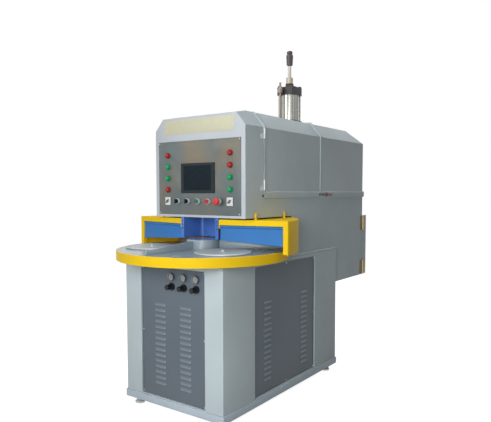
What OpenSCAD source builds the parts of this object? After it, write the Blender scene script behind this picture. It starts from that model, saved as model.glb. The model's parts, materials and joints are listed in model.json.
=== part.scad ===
// Automatic centrifugal casting machine with three mould heads on a turntable.
// Sizes in millimetres, +Z up, floor at Z = 0, operator in front at -Y.
// Every module is drawn about the turntable axis; to_frame() then centres the machine over its footprint.

/* [Cabinet] */
// Width of the lower cabinet
cabinet_w = 650; // [610:1:690]
// From the turntable axis to the cabinet front
cabinet_front = 248; // [235:1:300]
// From the turntable axis to the cabinet back
cabinet_back = 910; // [860:1:960]
// Height of the deck's top face above the floor
deck_z = 780; // [760:1:790]
// Thickness of the deck plate
deck_t = 12; // [8:1:14]
// Height of the levelling feet
foot_h = 41; // [30:1:60]
// Radius of a foot's pad
foot_r = 26; // [20:1:45]
// From a cabinet corner to its foot, both ways
foot_inset = 45; // [40:1:90]
// Height of the base plinth
plinth_h = 38; // [30:1:60]
// How far the plinth stands proud of the cabinet
plinth_proud = 6; // [0:1:15]
// Thickness of the folded sheet
sheet = 3; // [2:0.5:4]

/* [Louvred panels] */
// Width of the front panel
front_panel_w = 428; // [400:1:480]
// Width of a side panel
side_panel_w = 624; // [560:1:680]
// From the turntable axis back to a side panel's front edge
side_panel_start = 13; // [0:1:40]
// From the deck's top face down to the panels' top edge
panel_drop = 26; // [24:1:50]
// Height of the frame under a panel
panel_foot = 5; // [4:1:20]
// How far a panel lies behind the cabinet's face
panel_recess = 8; // [7:0.5:12]
// Thickness of a panel
panel_t = 2; // [1.5:0.5:3]
// Width of the frame's rebate round a panel
frame_edge = 12; // [8:1:14]
// Play between a panel and its frame
panel_gap = 0.5; // [0.3:0.1:2]
// Width of one louvre
louvre_w = 72; // [50:1:90]
// Height of one louvre's hood
louvre_h = 17; // [8:1:20]
// How far a louvre stands out of its panel
louvre_out = 6.5; // [3:0.5:7]
// Height from one louvre to the next
louvre_pitch = 29; // [24:1:32]
// Louvres in one column
louvre_rows = 15; // [4:1:18]
// From the panel's lower edge to its first louvre
louvre_first = 66; // [30:1:100]
// From the middle of the front panel to a louvre column
front_louvre_x = 85; // [60:1:140]
// From the middle of a side panel to a louvre column
side_louvre_y = 188; // [80:1:230]

/* [Air controls] */
// From the middle of the front panel to the middle gauge
air_x = 77; // [0:1:90]
// Distance between neighbouring gauges
air_pitch = 80; // [60:1:90]
// From the deck's top down to the gauges
gauge_drop = 69; // [60:1:80]
// From the deck's top down to the regulator knobs
regulator_drop = 118; // [116:1:140]
// Radius of a gauge case
gauge_r = 20; // [16:1:24]
// Radius of a regulator knob
knob_r = 13; // [10:0.5:18]
// How far a regulator knob stands out of the panel
knob_out = 42; // [30:1:60]

/* [Turntable] */
// Outer radius of the turntable with its rim band
table_r = 452; // [440:1:460]
// From the deck's top up to the turntable's upper face
table_lift = 55; // [45:1:58]
// Thickness of the turntable disc
table_t = 12; // [8:1:16]
// Height of the rim band
rim_h = 48; // [30:1:48]
// Thickness of the rim band
rim_t = 4; // [2:0.5:8]
// Radius of the hub on the turntable
hub_r = 88; // [70:1:100]
// Height of the hub above the turntable
hub_h = 49; // [40:1:51]
// Radius of the table spindle
spindle_r = 40; // [30:1:50]
// Thickness of a partition rib
rib_t = 12; // [6:1:20]
// Height of a rib at the hub
rib_h_in = 44; // [30:1:46]
// Height of a rib at its outer end
rib_h_out = 20; // [12:1:26]
// Distance from the axis to a rib's outer end
rib_reach = 420; // [360:1:430]
// Distance from the axis to a mould station
station_r = 277; // [270:1:290]
// Radius of a mould plate
plate_r = 140; // [120:1:150]
// Thickness of a mould plate
plate_t = 8; // [6:0.5:12]
// Radius of the centre pin on a mould plate
pin_r = 8; // [5:0.5:12]
// Height of the centre pin above its plate
pin_h = 8; // [5:1:18]
// Radius of a mould spindle
mould_spindle_r = 25; // [18:1:30]

/* [Guards] */
// From the turntable's rim out to the drum guards' outer face
guard_gap = 51; // [40:1:62]
// From the turntable's upper face to the guards' top face
guard_h = 155; // [145:1:159]
// From the turntable's upper face down to the guards' lower edge
guard_drop = 13; // [5:1:30]
// From the machine's centre plane to a guard's inner end
guard_in_x = 129; // [118:1:150]
// How far a guard's inner end lies in front of the turntable axis
guard_in_y = 30; // [10:1:36]
// How far a guard's outer end lies behind the turntable axis
guard_out_y = 33; // [10:1:60]
// Height of the beam across a guard's mouth
beam_h = 28; // [20:1:34]
// Depth of the beam and width of the post
beam_d = 25; // [18:1:35]
// Height of a flap at its inner end
flap_h_in = 71; // [50:1:74]
// Height of a flap at its outer end
flap_h_out = 89; // [60:1:92]
// Thickness of a flap
flap_t = 4; // [3:0.5:6]
// Half width of the blue shield's bay
bay_w2 = 107; // [96:1:112]
// Depth of the bay behind the guards' inner ends
bay_d = 144; // [120:1:146]
// Width of a front flange of the shield
bay_flange = 20; // [12:1:20]
// Gap from the hub's top to the shield's lower edge
bay_clear = 2; // [1:0.5:12]

/* [Head and hood] */
// Width of the column, head and hood
head_w = 606; // [590:1:620]
// From the turntable axis forward to the fascia
head_front = 39; // [36:1:50]
// Gap from the guards' top face to the head's underside
head_gap = 8; // [6:1:16]
// Height of the head's sides, up to the roof chamfers
side_h = 461; // [440:1:490]
// Height of the fascia
fascia_h = 525; // [512:1:537]
// Width of the fascia's corner cuts
fascia_cut = 56; // [30:1:70]
// Height of the roof chamfers
roof_h = 83; // [79:1:101]
// Width of the roof chamfers
roof_cut = 72; // [50:1:90]
// From the turntable axis back to the hinge seam
seam_front = 119; // [100:1:130]
// From the turntable axis back to the latch seam
seam_back = 725; // [640:1:760]
// From the turntable axis back to the rear of the column
head_back = 1356; // [1300:1:1400]
// Length of the sloping rear end of the roof
hip_d = 130; // [90:1:200]
// From the head's underside up to the hood's lower edge
lip_lift = 97; // [82:1:102]
// Height of the rolled lip along the hood
lip_h = 38; // [24:1:40]
// How far the lip stands out
lip_out = 8; // [5:0.5:12]
// Width of the cover strip at the latch seam
strip_w = 16; // [10:1:20]
// How far the cover strip stands out
strip_out = 7; // [2:0.5:7.5]
// Play along the hood door's seams
seam_gap = 2.5; // [2:0.5:4]

/* [Control panel] */
// Width of the control panel
panel_w = 556; // [540:1:570]
// Height of the control panel
panel_h = 388; // [370:1:400]
// From the head's underside to the control panel's lower edge
panel_lift = 13; // [8:1:20]
// How far the control panel stands out of the fascia
panel_out = 3; // [3:0.5:12]
// Width of the operator screen's bezel
screen_w = 225; // [180:1:260]
// Height of the operator screen's bezel
screen_h = 156; // [120:1:180]
// From the control panel's lower edge to the bezel's lower edge
screen_lift = 114; // [110:1:160]
// From the middle of the panel to the lamp columns
lamp_x = 211; // [180:1:240]
// Height from one lamp to the next
lamp_pitch = 61; // [48:1:66]
// From the control panel's lower edge to the button row
button_lift = 71; // [50:1:80]
// Distance between neighbouring buttons in the row
button_pitch = 70; // [50:1:72]
// Radius of a button
button_r = 12; // [9:0.5:14]
// Radius of a pilot lamp's lens
lamp_r = 16; // [14:0.5:18]
// Radius of the stop button's mushroom head
stop_r = 19; // [18:0.5:26]

/* [Electrical box] */
// Height of the box
box_h = 412; // [370:1:460]
// From the head's underside down to the rear door's top edge
rear_door_drop = 31; // [30:1:90]
// Depth of the rear door's pan
rear_door_d = 68; // [40:1:80]

/* [Roof cylinder] */
// From the turntable axis back to the roof cylinder
ram_y = 876; // [860:1:884]
// Side of the cylinder's square end caps
cap_w = 120; // [112:1:130]
// Distance between the tie rods
tie_pitch = 96; // [93:1:99]
// Radius of the cylinder's bore
bore_r = 54; // [40:1:55]
// Wall of the barrel
barrel_t = 4; // [2:0.5:5]
// Length of the barrel between its caps
barrel_l = 161; // [150:1:200]
// Height of an end cap
cap_h = 51; // [35:1:60]
// Radius of the through rod
rod_r = 11; // [8:0.5:14]
// Working stroke of the roof cylinder
ram_stroke = 75; // [50:1:90]

/* [Press] */
// Working stroke of the mould press
press_stroke = 50; // [30:1:52]
// Radius of the press plate
press_r = 135; // [110:1:135]
// Radius of the hollow press ram
press_ram_r = 40; // [34:1:46]

/* [Furnace] */
// Outer radius of the melting pot's round ends
pot_r = 130; // [120:1:150]
// Distance between the centres of the pot's round ends
pot_l = 140; // [100:1:160]
// Depth of the melting pot
pot_d = 250; // [180:1:260]
// Wall of the melting pot
pot_t = 8; // [6:1:12]

/* [Clearances] */
// Radial running clearance of shafts, pins and rods
run = 0.06; // [0.03:0.01:0.1]
// Gap between parts that move past each other
gap = 0.5; // [0.3:0.1:1]
// Gap of a thrust face
thrust = 0.3; // [0.3:0.1:0.5]

/* [Hidden] */
$fn = 64;
eps = 1;

// Footprint: the front is the turntable rim, the back is the rear door
rear_reach = head_back + gap + rear_door_d;
axis_y = -(rear_reach - table_r) / 2;

// Heights, each from the one before
table_z = deck_z + table_lift;
guard_bottom = table_z - guard_drop;
guard_z = table_z + guard_h;
head_z = guard_z + head_gap;
lip_z = head_z + lip_lift;
shoulder_z = head_z + side_h;
fascia_z = head_z + fascia_h;
roof_z = shoulder_z + roof_h;
rear_door_z = head_z - rear_door_drop;
box_z = rear_door_z - box_h;
gauge_z = deck_z - gauge_drop;
regulator_z = deck_z - regulator_drop;

// Cabinet
plinth_top = foot_h + plinth_h;
deck_under = deck_z - deck_t;
frame_back = 2;
frame_depth = panel_recess + panel_t + frame_back;
panel_z0 = plinth_top + panel_foot;
panel_z1 = deck_z - panel_drop;
side_panel_mid = side_panel_start + side_panel_w / 2;
plinth_sheet = 4;
foot_stem_r = 10;

// Air controls, measured out of the front panel's face
gauge_out = 14;
gauge_wall = 3;
gauge_floor = 5;
stem_r = 6;
stem_l = 24;
neck_r = 15;
neck_nut_r = 20;
neck_nut_t = 5;
stub_r = 8;
regulator_w = 44;
regulator_l = 64;
hole_play = 0.4;

// Turntable
disc_z = table_z - table_t;
spindle_flange_t = 12;
spindle_flange_r = 100;
spindle_flange_z = disc_z - spindle_flange_t;
sleeve_r = 70;
sleeve_l = 170;
sleeve_z = deck_z - sleeve_l;
bearing_flange_r = 105;
bearing_flange_t = 10;
thrust_r = 62;
gearbox_h = 140;
gearbox_w = 180;
gearbox_d = 220;
gearbox_z = sleeve_z - gearbox_h;
spindle_below = 50;
spindle_z = sleeve_z - spindle_below;
index_motor_r = 58;
index_motor_l = 190;
station_angles = [-30, 210, 90];
rib_angles = [-90, 30, 150];
boss_r = 60;
boss_h = 28;
boss_z = disc_z - boss_h;
mould_flange_r = 34;
mould_flange_t = 5;
mould_foot_z = boss_z - 1 - mould_flange_t;
plate_z = table_z + gap;
pin_z = plate_z + plate_t + pin_h;
clutch_r = 40;
clutch_z = mould_foot_z - gap;
clutch_t = 12.5;
clutch_shaft_r = 20;
clutch_shaft_l = 70;
spin_motor_r = 75;
spin_motor_l = 208;
spin_motor_z = deck_under - spin_motor_l;
spin_flange_r = 95;
spin_flange_t = 28;

// Guards: the front edge runs from the inner end to the outer end, a little oblique
guard_r = table_r + guard_gap;
guard_t = 2.5;
guard_top_t = 4;
guard_out_x = sqrt(guard_r * guard_r - guard_out_y * guard_out_y);
guard_turn = atan2(guard_out_y + guard_in_y, guard_out_x - guard_in_x);
guard_l = norm([guard_out_x - guard_in_x, guard_out_y + guard_in_y]);
post_z = guard_bottom + 4;
hinge_rod_r = 4;
hinge_sleeve_r = 7;
flap_z = guard_z - beam_h - hinge_sleeve_r - 1;
flap_y = hinge_sleeve_r + 1;
flap_x0 = 6;
flap_x1 = guard_l - beam_d - 2;
flap_lean = 5;
flap_hang = (flap_h_in + flap_h_out) / 4 * tan(flap_lean);
bracket_t = 4;
stud_r = 5;
stud_h = 36;
stud_x = head_w / 2 + 14;
stud_y = [30, 300];
bay_z = table_z + hub_h + bay_clear;
bay_t = 2;
bay_round = 22;

// Column and hood
head_x = head_w / 2;
column_y = sqrt(guard_r * guard_r - head_x * head_x) + 1;
wall_y = table_r + 18;
spacer_r = 14;
spacer_x = 230;
spacer_y = [seam_front + 50, column_y - 60];
shelf_z = rear_door_z + 8;
shelf_t = 6;
roof_x = head_x - roof_cut;
roof_slope_t = sheet * norm([roof_cut, roof_h]) / roof_cut;
hip_slope_t = sheet * norm([hip_d, roof_h]) / hip_d;
console_level_y = 60;
door_y0 = seam_front + seam_gap;
door_y1 = seam_back - seam_gap;
lip_bevel = 4;
door_edge_w = 7;
roof_play = 1;
roof_flange = 20;
hinge_pin_r = 3;
hinge_knuckle_r = 5.5;
hinge_leaf_t = 2;
hinge_leaf_w = 26;
hinge_neck = 4;
hinge_weld = 1;
hood_hinge_l = 54;
hinge_split = 0.42;
hinge_short = 12;
hood_hinge_z = [lip_z + lip_h + 6, shoulder_z - hood_hinge_l - 4];
hood_hinge_x = head_x + hinge_knuckle_r + gap;
latch_z = lip_z + lip_h / 2;
latch_h = 14;
latch_ear = 3;
latch_face = head_x + lip_out;
lever_reach = 66;
lever_pivot_y = seam_back + lever_reach;
lever_pivot_x = latch_face + 8;
lever_l = 74;
lever_pin_r = 2.5;
strap_reach = 44;
strap_end = seam_back + strap_reach;
staple_back = 20;
staple_y = seam_back + staple_back;
staple_r = 3;
staple_play = 1.5;
strap_t = 3;
strap_pad = 15;

// Control panel
panel_bottom = head_z + panel_lift;
panel_face = -head_front - panel_out;
panel_sheet = 2;
button_z = panel_bottom + button_lift;
screen_z = panel_bottom + screen_lift;
lamp_rows = [1, 2, 3, 4];
screen_t = 6;
screen_edge = 20;
screen_body_d = 42;
screen_body_in = 8;
glass_t = 2;
collar_r = button_r + 3.5;
collar_t = 12;
collar_floor = 0.3;
barrel_d = 36;
button_travel = 4;
stop_travel = 6;
switch_w = 38;
switch_h = 42;
switch_t = 4;
switch_pin_r = 3;
switch_boss_r = 8;
switch_boss_t = 1.5;
switch_bar_l = 24;
switch_bar_w = 5;
switch_bar_h = 8;
selector_bar_w = 7;
selector_bar_h = 12;
spindle_l = 6;
lamp_base = 4;
lamp_edge = 1.5;
fascia_window = 18;

// Electrical box and rear door
box_wall_y = cabinet_back;
rear_hinge_l = 100;
rear_hinge_z = [box_z + 2, rear_door_z - rear_hinge_l - 2];
rear_hinge_x = head_x + hinge_knuckle_r + gap;
rear_hinge_y = head_back + gap / 2;
gear_plate_y = box_wall_y + 40;
gear_plate_t = 3;
gear_edge = 30;
gear_post_r = 8;
drive_w = 105;
drive_pitch = 125;
drive_h = 150;
drive_d = 130;
filter_w = 90;
contactor_w = 46;
contactor_pitch = 52;
contactor_h = 80;
contactor_d = 85;
terminal_h = 35;
terminal_d = 50;
row_gap = 20;

// Roof cylinder
foot_plate_t = 6;
foot_plate_w = cap_w + 20;
low_cap_z = roof_z + foot_plate_t;
low_cap_h = cap_h - 9;
barrel_z = low_cap_z + low_cap_h;
top_cap_z = barrel_z + barrel_l;
neck_z = top_cap_z + cap_h;
cyl_neck_r = 26;
cyl_neck_h = 26;
gland_r = 22;
gland_h = 38;
gland_z = neck_z + cyl_neck_h;
collar_z = gland_z + gland_h + ram_stroke + gap;
stop_collar_r = 22.5;
stop_collar_h = 71;
stop_cap_r = 19;
stop_cap_h = 23;
tie_r = 6;
piston_h = 40;
port_l = 22;
port_x = -20;
port_y = ram_y - cap_w / 2 - port_l;
port_r = 7;
elbow_r = 18;
elbow_z = top_cap_z + 10;
elbow_h = 22;
cone_h = 26;
vent_r = 6.5;
vent_h = 18;

// Press, over the casting station behind the axis
press_plate_z = table_z + rib_h_in + press_stroke;
press_plate_t = 16;
press_flange_z = press_plate_z + press_plate_t + 7;
press_flange_t = 10;
press_rise = 112;
press_top = head_z + press_rise;
press_body_r = 75;
press_body_h = 100;
journal_r = 30;
journal_l = 30;
sprue_r = 18;
ram_hole_r = 22;

// Furnace and dosing pump
furnace_z = shelf_z + shelf_t;
furnace_wall = 40;
pot_floor = 60;
furnace_h = pot_floor + pot_d;
pot_z = furnace_z + pot_floor;
pot_ahead = 226;
pot_y0 = ram_y - pot_ahead;
pot_flange = 18;
pot_flange_t = 10;
pot_rim_z = furnace_z + furnace_h;
pump_r = 28;
plunger_r = 20;
pump_lift = 24;
pump_z = pot_z + pump_lift;
pump_rise = 110;
pump_top = pot_rim_z + pump_rise;
plunger_z = pump_z + 16 + ram_stroke;
plunger_l = 130;
plunger_top = plunger_z + plunger_l;
pipe_r = 14;
pipe_drop = 30;
pipe_z = pump_top - pipe_drop;

// Helpers
module slab(x0, x1, y0, y1, z0, z1) {
    translate([x0, y0, z0]) cube([x1 - x0, y1 - y0, z1 - z0]);
}

module wide(w, y0, y1, z0, z1) {
    slab(-w / 2, w / 2, y0, y1, z0, z1);
}

module rod_z(r, z0, z1, x = 0, y = 0) {
    translate([x, y, z0]) cylinder(r = r, h = z1 - z0);
}

module tube_z(r, bore, z0, z1, x = 0, y = 0) {
    difference() {
        rod_z(r, z0, z1, x, y);
        rod_z(bore, z0 - eps, z1 + eps, x, y);
    }
}

// A flat outline given in Y and Z, drawn out along X
module along_x(x0, x1) {
    translate([x0, 0, 0]) rotate([90, 0, 90]) linear_extrude(x1 - x0) children();
}

// A flat outline given in X and Z, drawn out along Y
module along_y(y0, y1) {
    translate([0, y1, 0]) rotate([90, 0, 0]) linear_extrude(y1 - y0) children();
}

module both_sides() {
    children();
    mirror([1, 0, 0]) children();
}

// A square block with round upright edges
module round_block(w, r, z0, z1, x = 0, y = 0) {
    translate([x, y, 0]) {
        slab(-w / 2, w / 2, -w / 2 + r, w / 2 - r, z0, z1);
        slab(-w / 2 + r, w / 2 - r, -w / 2, w / 2, z0, z1);
        for (sx = [-1, 1], sy = [-1, 1]) rod_z(r, z0, z1, sx * (w / 2 - r), sy * (w / 2 - r));
    }
}

module to_frame() {
    translate([0, axis_y, 0]) children();
}

// Places on the machine; local +Z points out of a control face, local +Y points up
module on_air_panel(i, z) {
    translate([air_x + (i - 1) * air_pitch, -cabinet_front + panel_recess, z]) rotate([90, 0, 0]) children();
}

module on_control_panel(x, z) {
    translate([x, panel_face, z]) rotate([90, 0, 0]) children();
}

module on_front() {
    translate([0, -cabinet_front, 0]) children();
}

module on_right() {
    translate([cabinet_w / 2, side_panel_mid, 0]) rotate([0, 0, 90]) children();
}

// Local X runs along a guard's front edge from its inner end, local Y points inwards
module on_guard() {
    translate([guard_in_x, -guard_in_y, 0]) rotate([0, 0, guard_turn]) children();
}

// Base
module levelling_feet() {
    color("dimgray")
    for (sx = [-1, 1], y = [-cabinet_front + foot_inset, cabinet_back - foot_inset])
        translate([sx * (cabinet_w / 2 - foot_inset), y, 0]) {
            cylinder(r = foot_r, h = 10);
            translate([0, 0, 10]) cylinder(r1 = foot_r, r2 = foot_stem_r + 5, h = 8);
            cylinder(r = foot_stem_r, h = foot_h);
            translate([0, 0, foot_h - 9]) cylinder(r = foot_stem_r * 1.8, h = 9, $fn = 6);
        }
}

module base_plinth() {
    color("gray")
    difference() {
        wide(cabinet_w + 2 * plinth_proud, -cabinet_front - plinth_proud, cabinet_back + plinth_proud,
            foot_h, plinth_top);
        wide(cabinet_w - 2 * sheet, -cabinet_front + sheet, cabinet_back - sheet, foot_h + plinth_sheet,
            plinth_top + eps);
    }
}

// The rebated frame round a panel, as a block and as the cut through it
module frame_block(w) {
    slab(-w / 2 - frame_edge, w / 2 + frame_edge, 0, frame_depth, plinth_top, panel_z1 + frame_edge);
}

module frame_cut(w) {
    slab(-w / 2, w / 2, -eps, panel_recess + panel_t, panel_z0, panel_z1);
    slab(-w / 2 + frame_edge, w / 2 - frame_edge, -eps, frame_depth + eps, panel_z0 + frame_edge,
        panel_z1 - frame_edge);
}

module cabinet_shell() {
    color("lightslategray")
    difference() {
        union() {
            difference() {
                wide(cabinet_w, -cabinet_front, cabinet_back, plinth_top, deck_under);
                wide(cabinet_w - 2 * sheet, -cabinet_front + sheet, cabinet_back - sheet, plinth_top - eps,
                    deck_under + eps);
            }
            on_front() frame_block(front_panel_w);
            both_sides() on_right() frame_block(side_panel_w);
        }
        on_front() frame_cut(front_panel_w);
        both_sides() on_right() frame_cut(side_panel_w);
    }
}

module deck_plate() {
    color("slategray")
    difference() {
        wide(cabinet_w, -cabinet_front, cabinet_back, deck_under, deck_z);
        rod_z(sleeve_r + hole_play, deck_under - eps, deck_z + eps);
        rod_z(clutch_r + 6, deck_under - eps, deck_z + eps, 0, station_r);
    }
}

// Louvres: hoods bent out of the panel, with sloping ends and open below
function louvre_z(i) = panel_z0 + louvre_first + i * louvre_pitch;

module louvre_profile() {
    f = panel_recess;
    nose = 1.5;
    root = panel_t / 4;
    teeth = [for (i = [0 : louvre_rows - 1]) each [[f + root, louvre_z(i)], [f - louvre_out, louvre_z(i)],
        [f - louvre_out, louvre_z(i) + nose], [f + root, louvre_z(i) + louvre_h]]];
    polygon(concat(teeth, [[f + root, louvre_z(louvre_rows)], [f + 3 * root, louvre_z(louvre_rows)],
        [f + 3 * root, louvre_z(0)]]));
}

module louvre_hoods() {
    f = panel_recess;
    half = louvre_w / 2;
    tip = half - louvre_out;
    intersection() {
        along_x(-half, half) louvre_profile();
        translate([0, 0, louvre_z(0) - eps]) linear_extrude(louvre_rows * louvre_pitch + 2 * eps)
            polygon([[-tip, f - louvre_out], [tip, f - louvre_out], [half, f], [half, f + panel_t],
                [-half, f + panel_t], [-half, f]]);
    }
}

module louvred_panel(w, column_x) {
    difference() {
        union() {
            slab(-w / 2 + panel_gap, w / 2 - panel_gap, panel_recess, panel_recess + panel_t, panel_z0 + panel_gap,
                panel_z1 - panel_gap);
            for (s = [-1, 1]) translate([s * column_x, 0, 0]) louvre_hoods();
        }
        for (s = [-1, 1]) translate([s * column_x, panel_t, -eps]) louvre_hoods();
    }
}

module front_panel() {
    color("dimgray")
    difference() {
        on_front() louvred_panel(front_panel_w, front_louvre_x);
        for (i = [0 : 2]) {
            on_air_panel(i, gauge_z) translate([0, 0, -panel_t - eps]) cylinder(r = stem_r + hole_play, h = 9);
            on_air_panel(i, regulator_z) translate([0, 0, -panel_t - eps])
                cylinder(r = neck_r + hole_play, h = 9);
        }
    }
}

module side_panels() {
    color("dimgray")
    both_sides() on_right() louvred_panel(side_panel_w, side_louvre_y);
}

// Gauges and regulators behind the front panel
module gauge() {
    difference() {
        cylinder(r = gauge_r, h = gauge_out);
        translate([0, 0, gauge_floor]) cylinder(r = gauge_r - gauge_wall, h = gauge_out);
    }
    translate([0, 0, gauge_floor]) cylinder(r = 2, h = 2);
    translate([-0.8, -2, gauge_floor]) cube([1.6, gauge_r - gauge_wall - 3, 1]);
    translate([0, 0, -stem_l]) cylinder(r = stem_r, h = stem_l + 1);
}

module regulator() {
    cylinder(r = neck_nut_r, h = neck_nut_t);
    translate([0, 0, -panel_t - 1]) cylinder(r = neck_r, h = panel_t + 2);
    cylinder(r = stub_r, h = knob_out - 12);
    translate([-regulator_w / 2, -regulator_w / 2, -panel_t - regulator_l])
        cube([regulator_w, regulator_w, regulator_l]);
}

module air_set() {
    color("dimgray")
    for (i = [0 : 2]) {
        on_air_panel(i, gauge_z) gauge();
        on_air_panel(i, regulator_z) regulator();
    }
}

module regulator_knob(i) {
    flutes = 10;
    color([0.08, 0.08, 0.08])
    on_air_panel(i, regulator_z) difference() {
        rotate_extrude() polygon([[0, neck_nut_t + gap], [knob_r + 1.5, neck_nut_t + gap],
            [knob_r + 1.5, neck_nut_t + 4], [knob_r, neck_nut_t + 6], [knob_r - 0.5, knob_out - 2],
            [knob_r - 2.5, knob_out], [0, knob_out]]);
        translate([0, 0, -eps]) cylinder(r = stub_r + run, h = knob_out - 12 + gap + eps);
        for (k = [0 : flutes - 1]) rotate([0, 0, k * 360 / flutes]) translate([knob_r + 1, 0, neck_nut_t + 7])
            cylinder(r = 2, h = knob_out);
    }
}

// Table bearing and drives
module main_bearing() {
    color("gray")
    rotate_extrude() polygon([[spindle_r + run, sleeve_z], [sleeve_r, sleeve_z], [sleeve_r, deck_z],
        [bearing_flange_r, deck_z], [bearing_flange_r, deck_z + bearing_flange_t],
        [thrust_r, deck_z + bearing_flange_t], [thrust_r, spindle_flange_z - thrust],
        [spindle_r + run, spindle_flange_z - thrust]]);
}

module drive_motors() {
    color("darkslategray") {
        difference() {
            union() {
                wide(gearbox_w, -gearbox_d / 2, gearbox_d / 2, gearbox_z, sleeve_z);
                translate([-gearbox_w / 2 - index_motor_l, 0, gearbox_z + gearbox_h / 2]) rotate([0, 90, 0])
                    cylinder(r = index_motor_r, h = index_motor_l + 5);
            }
            rod_z(spindle_r + run, spindle_z - 5, sleeve_z + eps);
        }
        difference() {
            union() {
                rod_z(spin_motor_r, spin_motor_z, deck_under, 0, station_r);
                rod_z(spin_flange_r, deck_under - spin_flange_t, deck_under, 0, station_r);
            }
            rod_z(clutch_shaft_r + run, deck_under - clutch_shaft_l, deck_under + eps, 0, station_r);
        }
    }
}

module drive_clutch() {
    color("silver")
    translate([0, station_r, 0]) {
        rod_z(clutch_shaft_r, deck_under - clutch_shaft_l + thrust, clutch_z - clutch_t);
        rod_z(clutch_r, clutch_z - clutch_t, clutch_z);
    }
}

// Turntable
module table_disc() {
    color("lightsteelblue")
    difference() {
        union() {
            rod_z(table_r - rim_t, disc_z, table_z);
            for (a = station_angles) rotate([0, 0, a]) rod_z(boss_r, boss_z, table_z - 2, station_r);
        }
        rod_z(spindle_r + 0.2, disc_z - eps, table_z + eps);
        for (a = station_angles) rotate([0, 0, a])
            rod_z(mould_spindle_r + run, boss_z - eps, table_z + eps, station_r);
    }
}

module rim_band() {
    color("gold")
    rotate_extrude() polygon([[table_r - rim_t, table_z - rim_h], [table_r - 1, table_z - rim_h],
        [table_r, table_z - rim_h + 1], [table_r, table_z - 1.5], [table_r - 1.5, table_z],
        [table_r - rim_t, table_z]]);
}

module table_hub() {
    hub_z = table_z + hub_h;
    round_r = 6;
    corner = [for (a = [0 : 15 : 90]) [hub_r - round_r + round_r * cos(a), hub_z - round_r + round_r * sin(a)]];
    color("lightslategray")
    rotate_extrude() polygon(concat([[0, spindle_z], [spindle_r, spindle_z], [spindle_r, spindle_flange_z],
        [spindle_flange_r, spindle_flange_z], [spindle_flange_r, disc_z], [spindle_r, disc_z],
        [spindle_r, table_z], [hub_r, table_z]], corner, [[0, hub_z]]));
}

module partition_ribs() {
    color("slategray")
    for (a = rib_angles) rotate([0, 0, a]) difference() {
        along_y(-rib_t / 2, rib_t / 2) polygon([[hub_r - rib_t, table_z], [rib_reach, table_z],
            [rib_reach, table_z + rib_h_out], [hub_r - rib_t, table_z + rib_h_in]]);
        rod_z(hub_r, table_z - eps, table_z + hub_h + eps);
    }
}

module mould_plate(i) {
    dish = 1.2;
    top = plate_z + plate_t;
    bevel = 2;
    color("silver")
    rotate([0, 0, station_angles[i]]) translate([station_r, 0, 0])
        rotate_extrude() polygon([[0, mould_foot_z], [mould_flange_r, mould_foot_z],
            [mould_flange_r, mould_foot_z + mould_flange_t], [mould_spindle_r, mould_foot_z + mould_flange_t],
            [mould_spindle_r, plate_z], [plate_r - bevel, plate_z], [plate_r, plate_z + bevel],
            [plate_r, top - bevel], [plate_r - bevel, top], [plate_r - 12, top], [plate_r - 14, top - dish],
            [pin_r + 16, top - dish], [pin_r + 14, top], [pin_r, top], [pin_r, pin_z - bevel],
            [pin_r - bevel, pin_z], [0, pin_z]]);
}

// Guards
module guard_space() {
    intersection() {
        rod_z(guard_r, guard_bottom - 10, guard_z + 10);
        on_guard() slab(-guard_r, guard_r, 0, 2 * guard_r, guard_bottom - 20, guard_z + 20);
        slab(guard_in_x, 2 * guard_r, -guard_r, column_y - gap, guard_bottom - 20, guard_z + 20);
    }
}

module drum_guard() {
    intersection() {
        guard_space();
        union() {
            rod_z(guard_r, guard_z - guard_top_t, guard_z);
            tube_z(guard_r, guard_r - guard_t, guard_bottom, guard_z - guard_top_t / 2);
            on_guard() {
                slab(-beam_d, guard_l + beam_d, 0, beam_d, guard_z - beam_h, guard_z - guard_top_t / 2);
                slab(guard_l - beam_d, guard_l + beam_d, 0, beam_d, post_z, guard_z - beam_h / 2);
                slab(0, bracket_t, 0, beam_d, flap_z - hinge_sleeve_r - 4, guard_z - beam_h / 2);
                translate([bracket_t / 2, flap_y, flap_z]) rotate([0, 90, 0])
                    cylinder(r = hinge_rod_r, h = guard_l - beam_d);
            }
        }
    }
    for (y = spacer_y) rod_z(spacer_r, guard_z, head_z, spacer_x, y);
    for (y = stud_y) {
        rod_z(stud_r, guard_z, guard_z + stud_h, stud_x, y);
        rod_z(stud_r * 1.7, guard_z, guard_z + 6, stud_x, y);
    }
}

module drum_guards() {
    color("gold")
    both_sides() drum_guard();
}

module guard_flap() {
    l = flap_x1 - flap_x0;
    on_guard() translate([flap_x0, flap_y, flap_z]) difference() {
        union() {
            rotate([0, 90, 0]) cylinder(r = hinge_sleeve_r, h = l);
            translate([0, flap_t / 2 + flap_hang, 0]) rotate([-flap_lean, 0, 0]) along_y(-flap_t, 0)
                polygon([[1, 0], [l - 1, 0], [l - 1, -flap_h_out], [1, -flap_h_in]]);
        }
        translate([-eps, 0, 0]) rotate([0, 90, 0]) cylinder(r = hinge_rod_r + run, h = l + 2 * eps);
    }
}

module flap_right() {
    color("steelblue") guard_flap();
}

module flap_left() {
    color("steelblue") mirror([1, 0, 0]) guard_flap();
}

// Bent shield over the hub, open to the front
module bay_plan(w2, y0, y1, r, z0, z1) {
    slab(-w2, w2, y0, y1 - r, z0, z1);
    slab(-w2 + r, w2 - r, y0, y1, z0, z1);
    for (s = [-1, 1]) rod_z(r, z0, z1, s * (w2 - r), y1 - r);
}

module bay_shield() {
    front = -guard_in_y;
    back = front + bay_d;
    color("royalblue") {
        difference() {
            bay_plan(bay_w2 + bay_t, front, back + bay_t, bay_round + bay_t, bay_z, head_z);
            bay_plan(bay_w2, front - eps, back, bay_round, bay_z - eps, head_z + eps);
        }
        both_sides() slab(bay_w2, bay_w2 + bay_flange, front - bay_t, front, bay_z, head_z);
    }
}

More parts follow.
